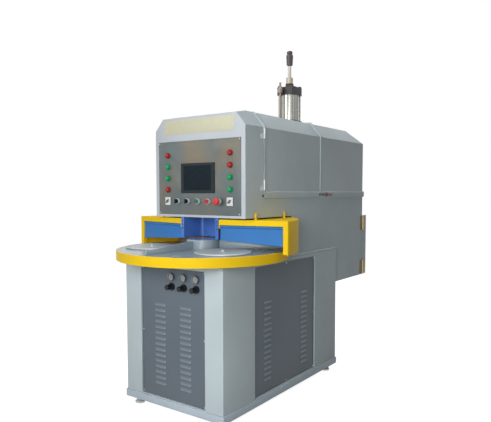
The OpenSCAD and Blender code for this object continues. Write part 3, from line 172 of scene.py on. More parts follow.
class Shader:
    """A node tree, written as expressions."""

    def __init__(self, tree: bpy.types.NodeTree) -> None:
        """Empty a tree to start from.

        Args:
            tree: the tree of a material or of the world.
        """
        self.tree = tree
        self.tree.nodes.clear()
        self._coords: Flow | None = None

    def add(self, kind: str, settings: dict, inputs: dict, output: int | str = 0) -> Flow:
        """Make one node, set it, then give its sockets values or links.

        Args:
            kind: the node's type.
            settings: the node's own properties.
            inputs: values or flows by socket index or name.
            output: the socket that the result is taken from.

        Returns:
            The chosen output; for an output node, its first input.
        """
        node = self.tree.nodes.new(kind)
        for key, value in settings.items():
            setattr(node, key, value)
        for key, value in inputs.items():
            socket = node.inputs[key]
            if isinstance(value, Flow):
                self.tree.links.new(value.socket, socket)
            elif socket.type == "RGBA":
                socket.default_value = (*value, 1.0)
            else:
                socket.default_value = value
        return Flow(self, node.outputs[output] if node.outputs else node.inputs[0])

    def coords(self) -> Flow:
        """The piece's own Object coordinates.

        Returns:
            The coordinates in metres.
        """
        if self._coords is None:
            self._coords = self.add("ShaderNodeTexCoord", {}, {}, "Object")
        return self._coords

    def mapped(self, scale: Sequence[float], place: Sequence[float] = (0.0, 0.0, 0.0)) -> Flow:
        """Object coordinates measured from a place, in metres, and stretched along each axis."""
        shift = tuple(-p * s for p, s in zip(place, scale))
        return self.add("ShaderNodeMapping", {"vector_type": "POINT"},
                        {"Vector": self.coords(), "Location": shift, "Scale": tuple(scale)})

    def noise(self, vector: Flow, pattern: Pattern) -> Flow:
        """Soft noise from 0 to 1 on coordinates."""
        return self.add("ShaderNodeTexNoise", {}, {"Vector": vector, "Scale": pattern.scale,
                                                   "Detail": pattern.detail, "Roughness": pattern.rough})

    def blend(self, factor: Value, first: Value, second: Value) -> Flow:
        """A mix of two colours, with the factor as the share of the second."""
        return self.add("ShaderNodeMix", {"data_type": "RGBA"}, {0: factor, 6: first, 7: second}, 2)

    def axis(self, index: int) -> Flow:
        """One of the Object coordinates, 0, 1 or 2 for X, Y or Z, in metres."""
        return self.add("ShaderNodeSeparateXYZ", {}, {0: self.coords()}, index)

    def bump(self, value: Flow, strength: float, distance: float) -> Flow:
        """The normal of a height, where a value of 1 stands for the distance in metres."""
        heights = {"Strength": strength, "Distance": distance, "Height": value}
        return self.add("ShaderNodeBump", {}, heights, "Normal")

    def close(self, result: Flow, kind: str = "ShaderNodeOutputMaterial") -> None:
        """Give the tree its output."""
        self.add(kind, {}, {"Surface": result})


@dataclass(frozen=True)
class Finish:
    """A surface finish; its material is made once, at its first use."""
    name: str
    colour: Colour
    roughness: float

    def material(self) -> bpy.types.Material:
        """Find or make the material.

        Returns:
            The material of this finish.
        """
        found = bpy.data.materials.get(self.name)
        if found is None:
            found = bpy.data.materials.new(self.name)
            found.use_nodes = True
            shader = Shader(found.node_tree)
            shader.close(shader.add("ShaderNodeBsdfPrincipled", {}, self.sockets(shader), "BSDF"))
        return found

    def sockets(self, shader: Shader) -> dict[str, Value]:
        """What the surface is fed with, as values or flows by socket names."""
        raise NotImplementedError


@dataclass(frozen=True)
class Relief:
    """A painted highlight: paint made paler where a face stands proud, in place of the light that proud faces
    catch; an axis, and the metres along it, either way, from flat to fully lit.
    """
    axis: int
    flat: float
    proud: float
    worn: Colour


CLOUD = Pattern(2.6, 4.0, band=(0.32, 0.68))
RUBBING = Pattern(6.0, 8.0, 0.72, (0.60, 0.80))
RUBBING_STRETCH = (9.0, 9.0, 2.2)
DUSTING = Pattern(14.0, 6.0)
DUST_TOP = 0.26
DUST_COLOUR = srgb(120, 114, 104)
ORANGE_PEEL = Pattern(420.0, 2.0)
PEEL_HEIGHT = 0.0006


@dataclass(frozen=True)
class PaintFinish(Finish):
    """Sprayed and baked paint: slight orange peel, uneven gloss, rubbed marks, dust low down, and, where
    given, a painted highlight on proud faces.
    """
    peel: float = 0.08
    rub: float = 0.30
    dust: float = 0.30
    coat: float = 0.04
    coat_rough: float = 0.18
    shine: float = 0.24
    relief: Relief | None = None
    deep: float = 0.93
    pale: float = 1.05
    rubbed: tuple[float, float] = (0.80, 0.08)
    cloud_gloss: float = 0.16
    rub_gloss: float = 0.25
    dust_gloss: float = 0.5

    def sockets(self, shader: Shader) -> dict[str, Value]:
        """Work out the paint.

        Args:
            shader: the tree that nodes are added to.

        Returns:
            Values or flows by the surface's socket names.
        """
        coords = shader.coords()
        cloud = shader.noise(coords, CLOUD)
        marks = shader.noise(shader.mapped(RUBBING_STRETCH), RUBBING).between(*RUBBING.band) * self.rub
        low = (DUST_TOP - shader.axis(2)).between(0.0, DUST_TOP) * shader.noise(coords, DUSTING) * self.dust
        deep = scaled(self.colour, self.deep)
        pale = scaled(self.colour, self.pale)
        body = shader.blend(cloud.between(*CLOUD.band), deep, pale)
        body = shader.blend(marks, body, scaled(self.colour, *self.rubbed))
        body = shader.blend(low, body, DUST_COLOUR)
        # Faces that stand proud blend to a paler colour: a painted highlight
        if self.relief is not None:
            reach = shader.axis(self.relief.axis)
            proud = reach.largest(reach * -1.0).between(self.relief.flat, self.relief.proud)
            body = shader.blend(proud, body, self.relief.worn)
        gloss = self.roughness + (cloud - MIDDLE) * self.cloud_gloss
        gloss = gloss + marks * self.rub_gloss + low * self.dust_gloss
        peel = shader.bump(shader.noise(coords, ORANGE_PEEL), self.peel, PEEL_HEIGHT)
        return {"Base Color": body, "Roughness": gloss, "Coat Weight": self.coat,
                "Coat Roughness": self.coat_rough, "Specular IOR Level": self.shine, "Normal": peel}


STAIN = Pattern(7.0, 6.0, 0.65, (0.40, 0.75))
STREAKS = Pattern(26.0, 2.0, band=(0.42, 0.62))
# Soft patches of a second colour on metal: a painted reflection
REFLECTION_PATCHES = Pattern(3.4, band=(0.40, 0.66))
WORKED_HEIGHT = 0.0004


@dataclass(frozen=True)
class MetalFinish(Finish):
    """Bare metal with the marks of how it was worked, light stains, handling wear and, where given, soft
    patches of a second colour that are a painted reflection.
    """
    grain: Grain = Grain.CAST
    centre: Place = (0.0, 0.0, 0.0)
    depth: float = 0.03
    pitch: float = 900.0
    metallic: float = 1.0
    bands: float = 0.0
    # The colour of the painted reflection patches, if any
    other: Colour | None = None
    dull: float = 0.72
    dark: float = 0.22
    stain_share: float = 0.5
    line_share: float = 0.22
    stain_gloss: float = 0.16
    line_gloss: float = 0.18

    def sockets(self, shader: Shader) -> dict[str, Value]:
        """Work out the metal.

        Args:
            shader: the tree that nodes are added to.

        Returns:
            Values or flows by the surface's socket names.
        """
        coords = shader.coords()
        stain = shader.noise(coords, STAIN)
        way = shader.mapped(self.grain.value, self.centre)
        worked = Pattern(self.pitch, 3.0, 0.6, (0.25, 0.75))
        if self.grain is Grain.TURNED:
            reach = shader.add("ShaderNodeVectorMath", {"operation": "LENGTH"}, {0: way}, "Value")
            lines = shader.add("ShaderNodeTexNoise", {"noise_dimensions": "1D"},
                               {"W": reach, "Scale": worked.scale, "Detail": worked.detail})
        else:
            lines = shader.noise(way, worked)
        dull = scaled(self.colour, self.dull)
        tone = shader.blend(stain.between(*STAIN.band) * self.stain_share, self.colour, dull)
        tone = shader.blend(lines.between(*worked.band) * self.line_share, tone, dull)
        if self.bands:
            streaks = shader.noise(way, STREAKS).between(*STREAKS.band) * self.bands
            tone = shader.blend(streaks, tone, scaled(self.colour, self.dark))
        # Soft patches of the second colour: a painted reflection
        if self.other:
            second = shader.noise(coords, REFLECTION_PATCHES).between(*REFLECTION_PATCHES.band)
            tone = shader.blend(second, tone, self.other)
        gloss = self.roughness + (lines - MIDDLE) * self.line_gloss + (stain - MIDDLE) * self.stain_gloss
        return {"Base Color": tone, "Metallic": self.metallic, "Roughness": gloss,
                "Normal": shader.bump(lines, self.depth, WORKED_HEIGHT)}


TOUCH_AND_SHEEN = Pattern(45.0, 5.0, 0.6, (0.35, 0.7))
MOULD_SKIN = Pattern(1500.0, 2.0)
SKIN_HEIGHT = 0.0002


@dataclass(frozen=True)
class PlasticFinish(Finish):
    """Moulded plastic with a fine grain and finger marks; where the patch tone is above 1 the patches are
    lighter, a painted reflection.
    """
    grain: float = 0.05
    shine: float = 0.3
    alpha: float = 1.0
    mottle: float = 0.86
    touch_gloss: float = 0.14

    def sockets(self, shader: Shader) -> dict[str, Value]:
        """Work out the plastic.

        Args:
            shader: the tree that nodes are added to.

        Returns:
            Values or flows by the surface's socket names.
        """
        coords = shader.coords()
        touch_and_sheen = shader.noise(coords, TOUCH_AND_SHEEN)
        # Patches darken for finger marks, and lighten for a painted reflection where the tone is above 1
        tone = shader.blend(touch_and_sheen.between(*TOUCH_AND_SHEEN.band), self.colour, scaled(self.colour, self.mottle))
        skin = shader.bump(shader.noise(coords, MOULD_SKIN), self.grain, SKIN_HEIGHT)
        gloss = self.roughness + (touch_and_sheen - MIDDLE) * self.touch_gloss
        return {"Base Color": tone, "Roughness": gloss, "Specular IOR Level": self.shine,
                "Alpha": self.alpha, "Normal": skin}


PITS = Pattern(160.0, 8.0, 0.75, (0.35, 0.65))
PIT_HEIGHT = 0.002
SCORCH = Pattern(5.0, 5.0, band=(0.45, 0.75))
SCORCH_COLOUR = srgb(96, 74, 60)


@dataclass(frozen=True)
class BoardFinish(Finish):
    """Rough insulating board with pits and scorching."""
    pitted: float = 0.8
    scorched: float = 0.6
    depth: float = 0.5

    def sockets(self, shader: Shader) -> dict[str, Value]:
        """Work out the board.

        Args:
            shader: the tree that nodes are added to.

        Returns:
            Values or flows by the surface's socket names.
        """
        coords = shader.coords()
        pits = shader.noise(coords, PITS)
        scorch = shader.noise(coords, SCORCH).between(*SCORCH.band) * self.scorched
        tone = shader.blend(pits.between(*PITS.band), scaled(self.colour, self.pitted), self.colour)
        tone = shader.blend(scorch, tone, SCORCH_COLOUR)
        return {"Base Color": tone, "Roughness": self.roughness,
                "Normal": shader.bump(pits, self.depth, PIT_HEIGHT)}


GREY = PaintFinish("grey_machine_paint", srgb(194, 207, 211), 0.42, dust=0.14, coat=0.0, shine=0.08)
PLINTH = PaintFinish("pale_plinth_paint", srgb(192, 206, 216), 0.42, dust=0.14, coat=0.0, shine=0.12)
# The door's proud front edge: the machine's grey painted darker, a painted shade
SHADED_EDGE_GREY = PaintFinish("grey_edge_painted_shade", srgb(158, 168, 170), 0.45, coat=0.0, shine=0.08)
LIGHT = PaintFinish("light_fascia_paint", srgb(199, 206, 213), 0.42, rub=0.2)
DARK = PaintFinish("dark_panel_paint", srgb(98, 109, 119), 0.45, rub=0.2)
# Front louvre hoods: panel paint with a painted highlight where they stand proud
LOUVRE = PaintFinish("front_louvre_painted_highlight", srgb(96, 107, 116), 0.45, rub=0.2,
                     relief=Relief(1, 0.7265, 0.7325, srgb(126, 138, 148)))
# Right ends of the front louvres: a lighter base and a stronger painted highlight where they stand proud
LOUVRE_END_HIGHLIGHT = PaintFinish("front_louvre_end_painted_highlight", srgb(120, 131, 140), 0.45, rub=0.2,
                         relief=Relief(1, 0.7265, 0.7315, srgb(166, 178, 186)))
# Side louvre hoods: panel paint with a painted highlight where they stand proud
SIDE_LOUVRE = PaintFinish("side_louvre_painted_highlight", srgb(92, 103, 112), 0.45, rub=0.2,
                          relief=Relief(0, 0.3172, 0.3232, srgb(144, 156, 164)))
YELLOW = PaintFinish("yellow_guard_paint", srgb(247, 206, 34), 0.42, coat=0.0, shine=0.05)
FLAP_BLUE = PaintFinish("blue_flap_paint", srgb(57, 121, 187), 0.36, coat=0.0, shine=0.15)
SHIELD_BLUE = PaintFinish("blue_shield_paint", srgb(75, 118, 195), 0.30, coat=0.2)
SCREW_BLUE = PaintFinish("painted_screw_blue", srgb(44, 76, 140), 0.40)
TABLE = PaintFinish("grey_table_paint", srgb(147, 162, 172), 0.26, rub=0.25, coat=0.10, shine=0.5)
RED_PAINT = PaintFinish("red_lever_paint", srgb(146, 82, 76), 0.40)
# The control panel's warm patches are a painted reflection
STAINLESS = MetalFinish("brushed_panel_steel", srgb(91, 99, 100), 0.44, Grain.ALONG_X, pitch=1600.0,
                        metallic=0.8, other=srgb(112, 104, 90))
STEEL = MetalFinish("ground_steel", srgb(180, 183, 184), 0.32)
ROD_STEEL = MetalFinish("bright_rod_steel", srgb(186, 182, 178), 0.18, Grain.ALONG_Z, depth=0.01, bands=0.8)
BARREL = MetalFinish("drawn_barrel_metal", srgb(206, 206, 198), 0.26, Grain.ALONG_Z, depth=0.01,
                     pitch=1400.0, bands=0.85)
PALE_STEEL = MetalFinish("plated_hinge_steel", srgb(208, 214, 216), 0.40, metallic=0.35)
DARK_STEEL = MetalFinish("dark_latch_steel", srgb(86, 92, 94), 0.42, metallic=0.6)
BRASS = MetalFinish("plain_brass", srgb(134, 119, 84), 0.38, Grain.ALONG_Z, metallic=0.8, bands=0.6)
# Paler brass for the front half of the rear hinge knuckles: a painted highlight
BRASS_HIGHLIGHT = MetalFinish("brass_painted_highlight", srgb(196, 180, 146), 0.34, Grain.ALONG_Z, metallic=0.6)
GLAND = MetalFinish("pale_gland_bronze", srgb(194, 180, 158), 0.38, metallic=0.4)
FITTING = MetalFinish("dull_fitting_brass", srgb(142, 132, 122), 0.38, metallic=0.7)
RING = MetalFinish("satin_button_ring", srgb(228, 230, 230), 0.34, depth=0.01, metallic=0.3)
DULL_CHROME = MetalFinish("dull_gauge_rim", srgb(112, 117, 121), 0.42, depth=0.01, metallic=0.6)
GAUGE_CASE = MetalFinish("dull_gauge_case", srgb(112, 118, 122), 0.45, metallic=0.4)
CASTING = MetalFinish("painted_casting", srgb(92, 98, 100), 0.58, depth=0.4, pitch=250.0, metallic=0.3)
POT_IRON = MetalFinish("scaled_pot_iron", srgb(84, 78, 74), 0.62, depth=0.5, pitch=210.0, metallic=0.6)
BATH = MetalFinish("still_metal_bath", srgb(190, 192, 196), 0.16, depth=0.05, pitch=60.0)
BLACK_CAP = PlasticFinish("black_anodised_cap", srgb(65, 61, 62), 0.40)
COLLAR = PlasticFinish("dark_stop_collar", srgb(82, 74, 76), 0.30, shine=0.5)
BLACK = PlasticFinish("black_moulding", srgb(24, 24, 27), 0.46)
BEZEL = PlasticFinish("screen_bezel_moulding", srgb(34, 42, 46), 0.5, shine=0.18)
# The display glass has lighter patches: a painted reflection
SCREEN = PlasticFinish("dark_display_glass", srgb(17, 30, 37), 0.30, grain=0.0, shine=0.08, mottle=1.5)
HANDLE = PlasticFinish("grey_switch_handle", srgb(116, 118, 120), 0.45)
WHITE = PlasticFinish("white_moulding", srgb(232, 233, 230), 0.4)
DIAL = PlasticFinish("gauge_dial_card", srgb(158, 163, 164), 0.6)
DIAL_INK = PlasticFinish("grey_dial_ink", srgb(92, 96, 100), 0.6)
RED = PlasticFinish("red_moulding", srgb(186, 44, 46), 0.3)
STOP_RED = PlasticFinish("stop_red_moulding", srgb(214, 62, 54), 0.32)
GREEN = PlasticFinish("green_moulding", srgb(18, 112, 92), 0.32)
RED_LENS = PlasticFinish("red_lamp_lens", srgb(170, 36, 38), 0.26, grain=0.02)
GREEN_LENS = PlasticFinish("green_lamp_lens", srgb(16, 160, 98), 0.26, grain=0.02)
CREAM = PlasticFinish("cream_name_strip", srgb(216, 215, 187), 0.42, mottle=0.95)
GREY_CASE = PlasticFinish("grey_drive_case", srgb(112, 118, 122), 0.48)
PALE_CASE = PlasticFinish("pale_terminal_case", srgb(196, 194, 180), 0.5)
DARK_CASE = PlasticFinish("dark_contactor_case", srgb(52, 54, 58), 0.5)
RUBBER = PlasticFinish("black_rubber", srgb(20, 20, 21), 0.7)
DIAL_GLASS = PlasticFinish("gauge_window", srgb(225, 232, 232), 0.06, grain=0.0, alpha=0.12)
BOARD = BoardFinish("insulating_board", srgb(196, 178, 158), 0.9)


@dataclass(frozen=True)
class Zone:
    """A box, in millimetres about the turntable axis, in which a node has another finish."""
    low: Place
    high: Place
    finish: Finish

    def holds(self, point: Vector) -> bool:
        """Say whether a point of the frame, in metres, lies in the box."""
        return all(a <= p <= b for a, p, b in zip(at(*self.low), point, at(*self.high)))


@dataclass(frozen=True)
class SoftNode:
    """A CAD node that is shown as a copy.

    Edges longer than shortest are rounded by edge, which is 0 where they stay sharp. What stands above
    the ceiling is dressed off. All three are in millimetres.
    """
    node: str
    edge: float
    finish: Finish
    shortest: float = 30.0
    zones: tuple[Zone, ...] = ()
    ceiling: float | None = None


@dataclass(frozen=True)
class Profile:
    """An outline in radius and height, both in millimetres, to be turned about an axis."""
    points: tuple[tuple[float, float], ...]
    sides: int


SCREW = Profile(((0.0, 1.0), (1.6, 1.0), (1.8, 2.0), (2.8, 2.2), (3.8, 1.4), (4.2, 0.0), (0.0, 0.0)), 16)


class Workpiece:
    """A bmesh on its way to becoming one piece of the machine."""

    def __init__(self, name: str) -> None:
        """Start an empty piece.

        Args:
            name: the name that its object gets.
        """
        self.name = name
        self.mesh = bmesh.new()
        self.finishes: list[Finish] = []

    def mark(self, faces: Iterable[bmesh.types.BMFace], finish: Finish) -> None:
        """Give faces a finish.

        Args:
            faces: the faces.
            finish: the finish whose material slot they get.
        """
        if finish not in self.finishes:
            self.finishes.append(finish)
        for face in faces:
            face.material_index = self.finishes.index(finish)

    def take(self, other: bmesh.types.BMesh, finish: Finish) -> None:
        """Take over another bmesh's geometry and free it.

        Args:
            other: the bmesh.
            finish: the finish of what it brings.
        """
        carrier = bpy.data.meshes.new("carrier")
        other.to_mesh(carrier)
        other.free()
        self.absorb(carrier, finish)

    def absorb(self, carrier: bpy.types.Mesh, finish: Finish) -> None:
        """Take over a mesh and remove it.

        Args:
            carrier: the mesh.
            finish: the finish of what it brings.
        """
        before = set(self.mesh.faces)
        self.mesh.from_mesh(carrier)
        bpy.data.meshes.remove(carrier)
        self.mark(set(self.mesh.faces) - before, finish)

    def block(self, low: Vector, high: Vector, edge: float, finish: Finish,
              turn: Matrix | None = None) -> None:
        """Add a block with rounded edges.

        Args:
            low: lowest corner, in metres.
            high: highest corner, in metres.
            edge: radius of its edges, in millimetres.
            finish: its finish.
            turn: a turn and shift given to the finished block.
        """
        block = bmesh.new()
        bmesh.ops.create_cube(block, size=1.0, matrix=Matrix.Translation((low + high) / 2)
                              @ Matrix.Diagonal((*(high - low), 1.0)))
        if edge > 0:
            bmesh.ops.bevel(block, geom=block.edges[:], offset=edge / 1000, offset_type="OFFSET",
                            segments=EDGE_STEPS, profile=0.5, affect="EDGES", clamp_overlap=True, material=-1)
        if turn is not None:
            bmesh.ops.transform(block, matrix=turn, verts=block.verts)
        self.take(block, finish)

    def turned(self, profile: Profile, place: Vector, facing: Facing, finish: Finish) -> None:
        """Add a turned shape.

        Args:
            profile: outline in radius and height.
            place: the foot of its axis, in metres.
            facing: the way that its axis points.
            finish: its finish.
        """
        lathe = bmesh.new()
        chain = [lathe.verts.new((r / 1000, 0.0, h / 1000)) for r, h in profile.points]
        links = [lathe.edges.new(pair) for pair in zip(chain, chain[1:])]
        bmesh.ops.spin(lathe, geom=chain + links, cent=(0, 0, 0), axis=(0, 0, 1), angle=math.tau,
                       steps=profile.sides, use_merge=True, use_duplicate=False)
        bmesh.ops.remove_doubles(lathe, verts=lathe.verts, dist=SAME_CUT_POINT)
        bmesh.ops.recalc_face_normals(lathe, faces=lathe.faces)
        bmesh.ops.transform(lathe, matrix=Matrix.Translation(place) @ facing.value, verts=lathe.verts)
        self.take(lathe, finish)

    def numeral(self, words: str, height: float, place: Vector, facing: Facing, finish: Finish) -> None:
        """Add plain numerals as a flat mesh.

        Args:
            words: the numerals.
            height: letter height in millimetres.
            place: the middle of the numerals, in metres.
            facing: the way that they look.
            finish: their finish.
        """
        curve = bpy.data.curves.new("numerals", "FONT")
        curve.body = words
        curve.size = height / 1000
        curve.align_x = "CENTER"
        curve.align_y = "CENTER"
        curve.extrude = NUMERAL_DEPTH
        carrier = bpy.data.objects.new("numerals", curve)
        bpy.context.scene.collection.objects.link(carrier)
        graph = bpy.context.evaluated_depsgraph_get()
        shape = bpy.data.meshes.new_from_object(carrier.evaluated_get(graph))
        shape.transform(Matrix.Translation(place) @ facing.value)
        bpy.data.objects.remove(carrier)
        bpy.data.curves.remove(curve)
        self.absorb(shape, finish)

    def soften(self, soft: SoftNode) -> None:
        """Copy a CAD node and round its longer edges as folded or dressed metal is.

        Args:
            soft: the node, its finishes and its edges.
        """
        mesh = self.mesh
        mesh.from_mesh(frame["nodes"][soft.node].data)
        bmesh.ops.remove_doubles(mesh, verts=mesh.verts, dist=SAME_POINT)
        self.mark(mesh.faces, soft.finish)
        for zone in soft.zones:
            self.mark([f for f in mesh.faces if zone.holds(f.calc_center_median())], zone.finish)
        if soft.ceiling is not None:
            cut = bmesh.ops.bisect_plane(mesh, geom=mesh.verts[:] + mesh.edges[:] + mesh.faces[:],
                                         dist=SAME_CUT_POINT, plane_co=at(0, 0, soft.ceiling),
                                         plane_no=(0, 0, 1), clear_outer=True)
            rim = [g for g in cut["geom_cut"] if isinstance(g, bmesh.types.BMEdge)]
            bmesh.ops.edgenet_fill(mesh, edges=rim)
        if soft.edge > 0:
            bmesh.ops.dissolve_limit(mesh, angle_limit=FLAT, use_dissolve_boundaries=False,
                                     verts=mesh.verts, edges=mesh.edges, delimit={"MATERIAL"})
            sharp = [e for e in mesh.edges if len(e.link_faces) == 2
                     and e.calc_length() > soft.shortest / 1000 and e.calc_face_angle(0.0) > FOLDED]
            bmesh.ops.bevel(mesh, geom=sharp, offset=soft.edge / 1000, offset_type="OFFSET",
                            segments=EDGE_STEPS, profile=0.5, affect="EDGES", clamp_overlap=False,
                            loop_slide=True, material=-1)
            bmesh.ops.dissolve_degenerate(mesh, dist=SAME_POINT, edges=mesh.edges)

    def done(self, body: str, replaces: Sequence[str] = ()) -> None:
        """Turn the work into an object that rides on a body.

        Args:
            body: the CAD body that carries it.
            replaces: CAD nodes that it stands for.
        """
        for face in self.mesh.faces:
            face.smooth = True
        for edge in self.mesh.edges:
            kinds = {face.material_index for face in edge.link_faces}
            edge.smooth = (len(edge.link_faces) == 2 and len(kinds) == 1
                           and edge.calc_face_angle(0.0) < SHALLOW)
        data = bpy.data.meshes.new(self.name)
        self.mesh.to_mesh(data)
        self.mesh.free()
        for finish in self.finishes:
            data.materials.append(finish.material())
        piece = bpy.data.objects.new(self.name, data)
        bpy.context.scene.collection.objects.link(piece)
        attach(piece, body)
        if replaces:
            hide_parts(*replaces)
        LOG.info("%s: %d faces on %s", self.name, len(data.polygons), body)


# Front louvre faces that take the painted highlight; their right ends take the stronger one
FRONT_LOUVRES = (Zone((-200, -248, 80), (200, -240.4, 690), LOUVRE),
                 *(Zone((x + 29.6, -248, 80), (x + 37, -240.4, 690), LOUVRE_END_HIGHLIGHT) for x in (-85, 85)))
# Side louvre faces that take the painted highlight
SIDE_LOUVRES = tuple(Zone((low, -60, 80), (low + 7.5, 720, 690), SIDE_LOUVRE) for low in (317.4, -324.9))
GAUGE_CASES = Zone((-40, -262, 686), (200, -238, 736), GAUGE_CASE)
# The door's proud front edge takes the painted shade
DOOR_EDGE = Zone((303.2, 119, 1090), (312, 123.5, 1470), SHADED_EDGE_GREY)
HOOD_HINGES = tuple(Zone((303.2, 92, z), (320, 125.5, z + 54), PALE_STEEL) for z in (1139, 1401))
REAR_HINGES = Zone((303.2, 1340, 550), (320, 1390, 970), BRASS)
# The front half of each rear hinge knuckle takes the painted highlight
REAR_KNUCKLES = Zone((305.5, 1345, 550), (320, 1355.5, 970), BRASS_HIGHLIGHT)
GLAND_NUT = Zone((-30, 845, 1826), (30, 910, 1870), GLAND)
TIE_NUTS = Zone((-60, 810, 1801.5), (60, 940, 1812), BLACK_CAP)
LATCH = Zone((311.3, 690, 1096), (340, 815, 1133), DARK_STEEL)
DRIVES = Zone((-250, 953.2, 760), (120, 1100, 920), GREY_CASE)
CONTACTORS = Zone((-260, 953.2, 660), (260, 1100, 750), DARK_CASE)
TERMINALS = Zone((-260, 953.2, 605), (260, 1100, 650), PALE_CASE)


@dataclass
class CadFinishes:
    """Finishes of the CAD nodes, shown as they are or as copies with rounded edges."""
    plain: dict[Finish, tuple[str, ...]] = field(default_factory=lambda: {
        GREY: ("column_plates",),
        YELLOW: ("rim_band",),
        TABLE: ("table_hub", "table_disc"),
        STEEL: ("drive_clutch", "press_ram", "main_bearing", "press_cylinder"),
        PALE_STEEL: ("levelling_feet",),
        ROD_STEEL: ("dosing_ram",),
        RING: ("button_collars",),
        CASTING: ("drive_motors",),
        POT_IRON: ("melting_pot", "dosing_pump"),
        BOARD: ("furnace",),
        BLACK: ("selector_1", "selector_2", "regulator_knob_1", "regulator_knob_2", "regulator_knob_3"),
        HANDLE: ("switch_handle_1", "switch_handle_2"),
        COLLAR: ("stop_collar",),
        SCREEN: ("screen_glass",),
        GREEN: ("green_button",),
        RED: ("red_button",),
        STOP_RED: ("stop_button",),
        RED_LENS: ("red_lamps",),
        GREEN_LENS: ("green_lamps",),
    })
    softened: tuple[SoftNode, ...] = (
        SoftNode("base_plinth", 1.2, PLINTH),
        SoftNode("cabinet_shell", 0.8, GREY),
        SoftNode("deck_plate", 0.8, GREY),
        SoftNode("column_sides", 0.8, GREY),
        SoftNode("console_shell", 0.0, GREY, zones=HOOD_HINGES),
        SoftNode("front_panel", 0.0, DARK, zones=FRONT_LOUVRES),
        SoftNode("side_panels", 0.0, DARK, zones=SIDE_LOUVRES),
        SoftNode("air_set", 0.0, BLACK, zones=(GAUGE_CASES,)),
        SoftNode("fascia", 1.0, LIGHT),
        SoftNode("control_panel", 0.5, STAINLESS),
        SoftNode("screen_bezel", 1.5, BEZEL, 10.0),
        SoftNode("switch_plates", 1.2, WHITE, 20.0),
        SoftNode("hood_roof", 1.2, GREY),
        SoftNode("hood_rear", 1.2, GREY, zones=(LATCH,)),
        SoftNode("hood_door", 1.0, GREY, 60.0, (DOOR_EDGE, *HOOD_HINGES, LATCH), 1543.0),
        SoftNode("rear_hinges", 0.0, BRASS, zones=(REAR_KNUCKLES,)),
        SoftNode("rear_door", 1.4, GREY, 60.0, (REAR_HINGES, REAR_KNUCKLES)),
        SoftNode("latch_lever", 0.8, RED_PAINT, 10.0),
        SoftNode("drum_guards", 0.8, YELLOW, 20.0),
        SoftNode("flap_right", 0.8, FLAP_BLUE, 20.0),
        SoftNode("flap_left", 0.8, FLAP_BLUE, 20.0),
        SoftNode("bay_shield", 0.5, SHIELD_BLUE, 12.0),
        SoftNode("partition_ribs", 1.5, TABLE, 12.0),
        SoftNode("cylinder_caps", 0.8, BLACK_CAP, 24.0),
        SoftNode("cylinder_barrel", 0.0, BARREL, zones=(TIE_NUTS,)),
        SoftNode("brass_fittings", 0.5, FITTING, 20.0, (GLAND_NUT,)),
        SoftNode("control_gear", 2.0, STEEL, 20.0, (DRIVES, CONTACTORS, TERMINALS)),
    )
    stations: tuple[tuple[str, float], ...] = (("mould_plate_1", -30.0), ("mould_plate_2", 210.0),
                                               ("mould_plate_3", 90.0), ("press_plate", 90.0))
    station_reach: float = 277.0
    station_tone: Colour = srgb(188, 196, 198)
    station_rough: float = 0.5
    station_metallic: float = 0.45

    def dress(self) -> None:
        """Put every finish on its nodes, and stop if a node is left bare."""
        body_of = {n: b for b, nodes in frame["record"]["behaviour"]["bodies"].items() for n in nodes}
        bare = set(frame["nodes"])
        for finish, nodes in self.plain.items():
            for node in nodes:
                self.coat(node, finish)
                bare.discard(node)
        for node, angle in self.stations:
            way = math.radians(angle)
            centre = at(self.station_reach * math.cos(way), self.station_reach * math.sin(way), 0.0)
            self.coat(node, MetalFinish("turned_" + node, self.station_tone, self.station_rough,
                                        Grain.TURNED, tuple(centre), metallic=self.station_metallic))
            bare.discard(node)
        for soft in self.softened:
            work = Workpiece(soft.node + "_dressed")
            work.soften(soft)
            work.done(body_of[soft.node], (soft.node,))
            bare.discard(soft.node)
        if bare:
            raise ValueError(f"no finish for {sorted(bare)}")

    def coat(self, node: str, finish: Finish) -> None:
        """Give a CAD node one finish.

        Args:
            node: the node's name.
            finish: the finish that it gets.
        """
        slots = frame["nodes"][node].data.materials
        slots.clear()
        slots.append(finish.material())
        LOG.info("%s: %s", node, finish.name)


@dataclass
class PanelScrews:
    """Screw heads of the louvred panels, the control panel and the shield."""
    front_x: float = 206.0
    front_y: float = -240.0
    side_x: float = 317.0
    side_y: tuple[float, ...] = (21.0, 325.0, 629.0)
    rows: tuple[float, ...] = (93.0, 419.0, 745.0)
    middle: tuple[float, float] = (325.0, 419.0)
    panel_x: float = 270.0
    panel_rows: tuple[float, ...] = (1019.0, 1391.0)
    panel_y: float = -42.0
    shield_x: float = 117.0
    shield_y: float = -32.0
    shield_rows: tuple[float, ...] = (940.0, 958.0, 977.0)

    def build(self) -> None:
        """Make the screw heads, one piece for each thing that they hold."""
        work = Workpiece("cabinet_panel_screws")
        for z in self.rows:
            for side, facing in ((-1, Facing.LEFT), (1, Facing.RIGHT)):
                work.turned(SCREW, at(side * self.front_x, self.front_y, z), Facing.FRONT, STEEL)
                for y in self.side_y:
                    if (y, z) != self.middle:
                        work.turned(SCREW, at(side * self.side_x, y, z), facing, STEEL)
        work.done("frame")
        work = Workpiece("control_panel_screws")
        self.pairs(work, self.panel_x, self.panel_y, self.panel_rows, STEEL)
        work.done("frame")
        work = Workpiece("shield_screws")
        self.pairs(work, self.shield_x, self.shield_y, self.shield_rows, SCREW_BLUE)
        work.done("frame")

    def pairs(self, work: Workpiece, x: float, y: float, rows: Sequence[float], finish: Finish) -> None:
        """Add front screws left and right of the middle.

        Args:
            work: the piece that takes them.
            x: how far each one is from the middle.
            y: the face that they stand on.
            rows: their heights.
            finish: their finish.
        """
        for z in rows:
            for side in (-x, x):
                work.turned(SCREW, at(side, y, z), Facing.FRONT, finish)


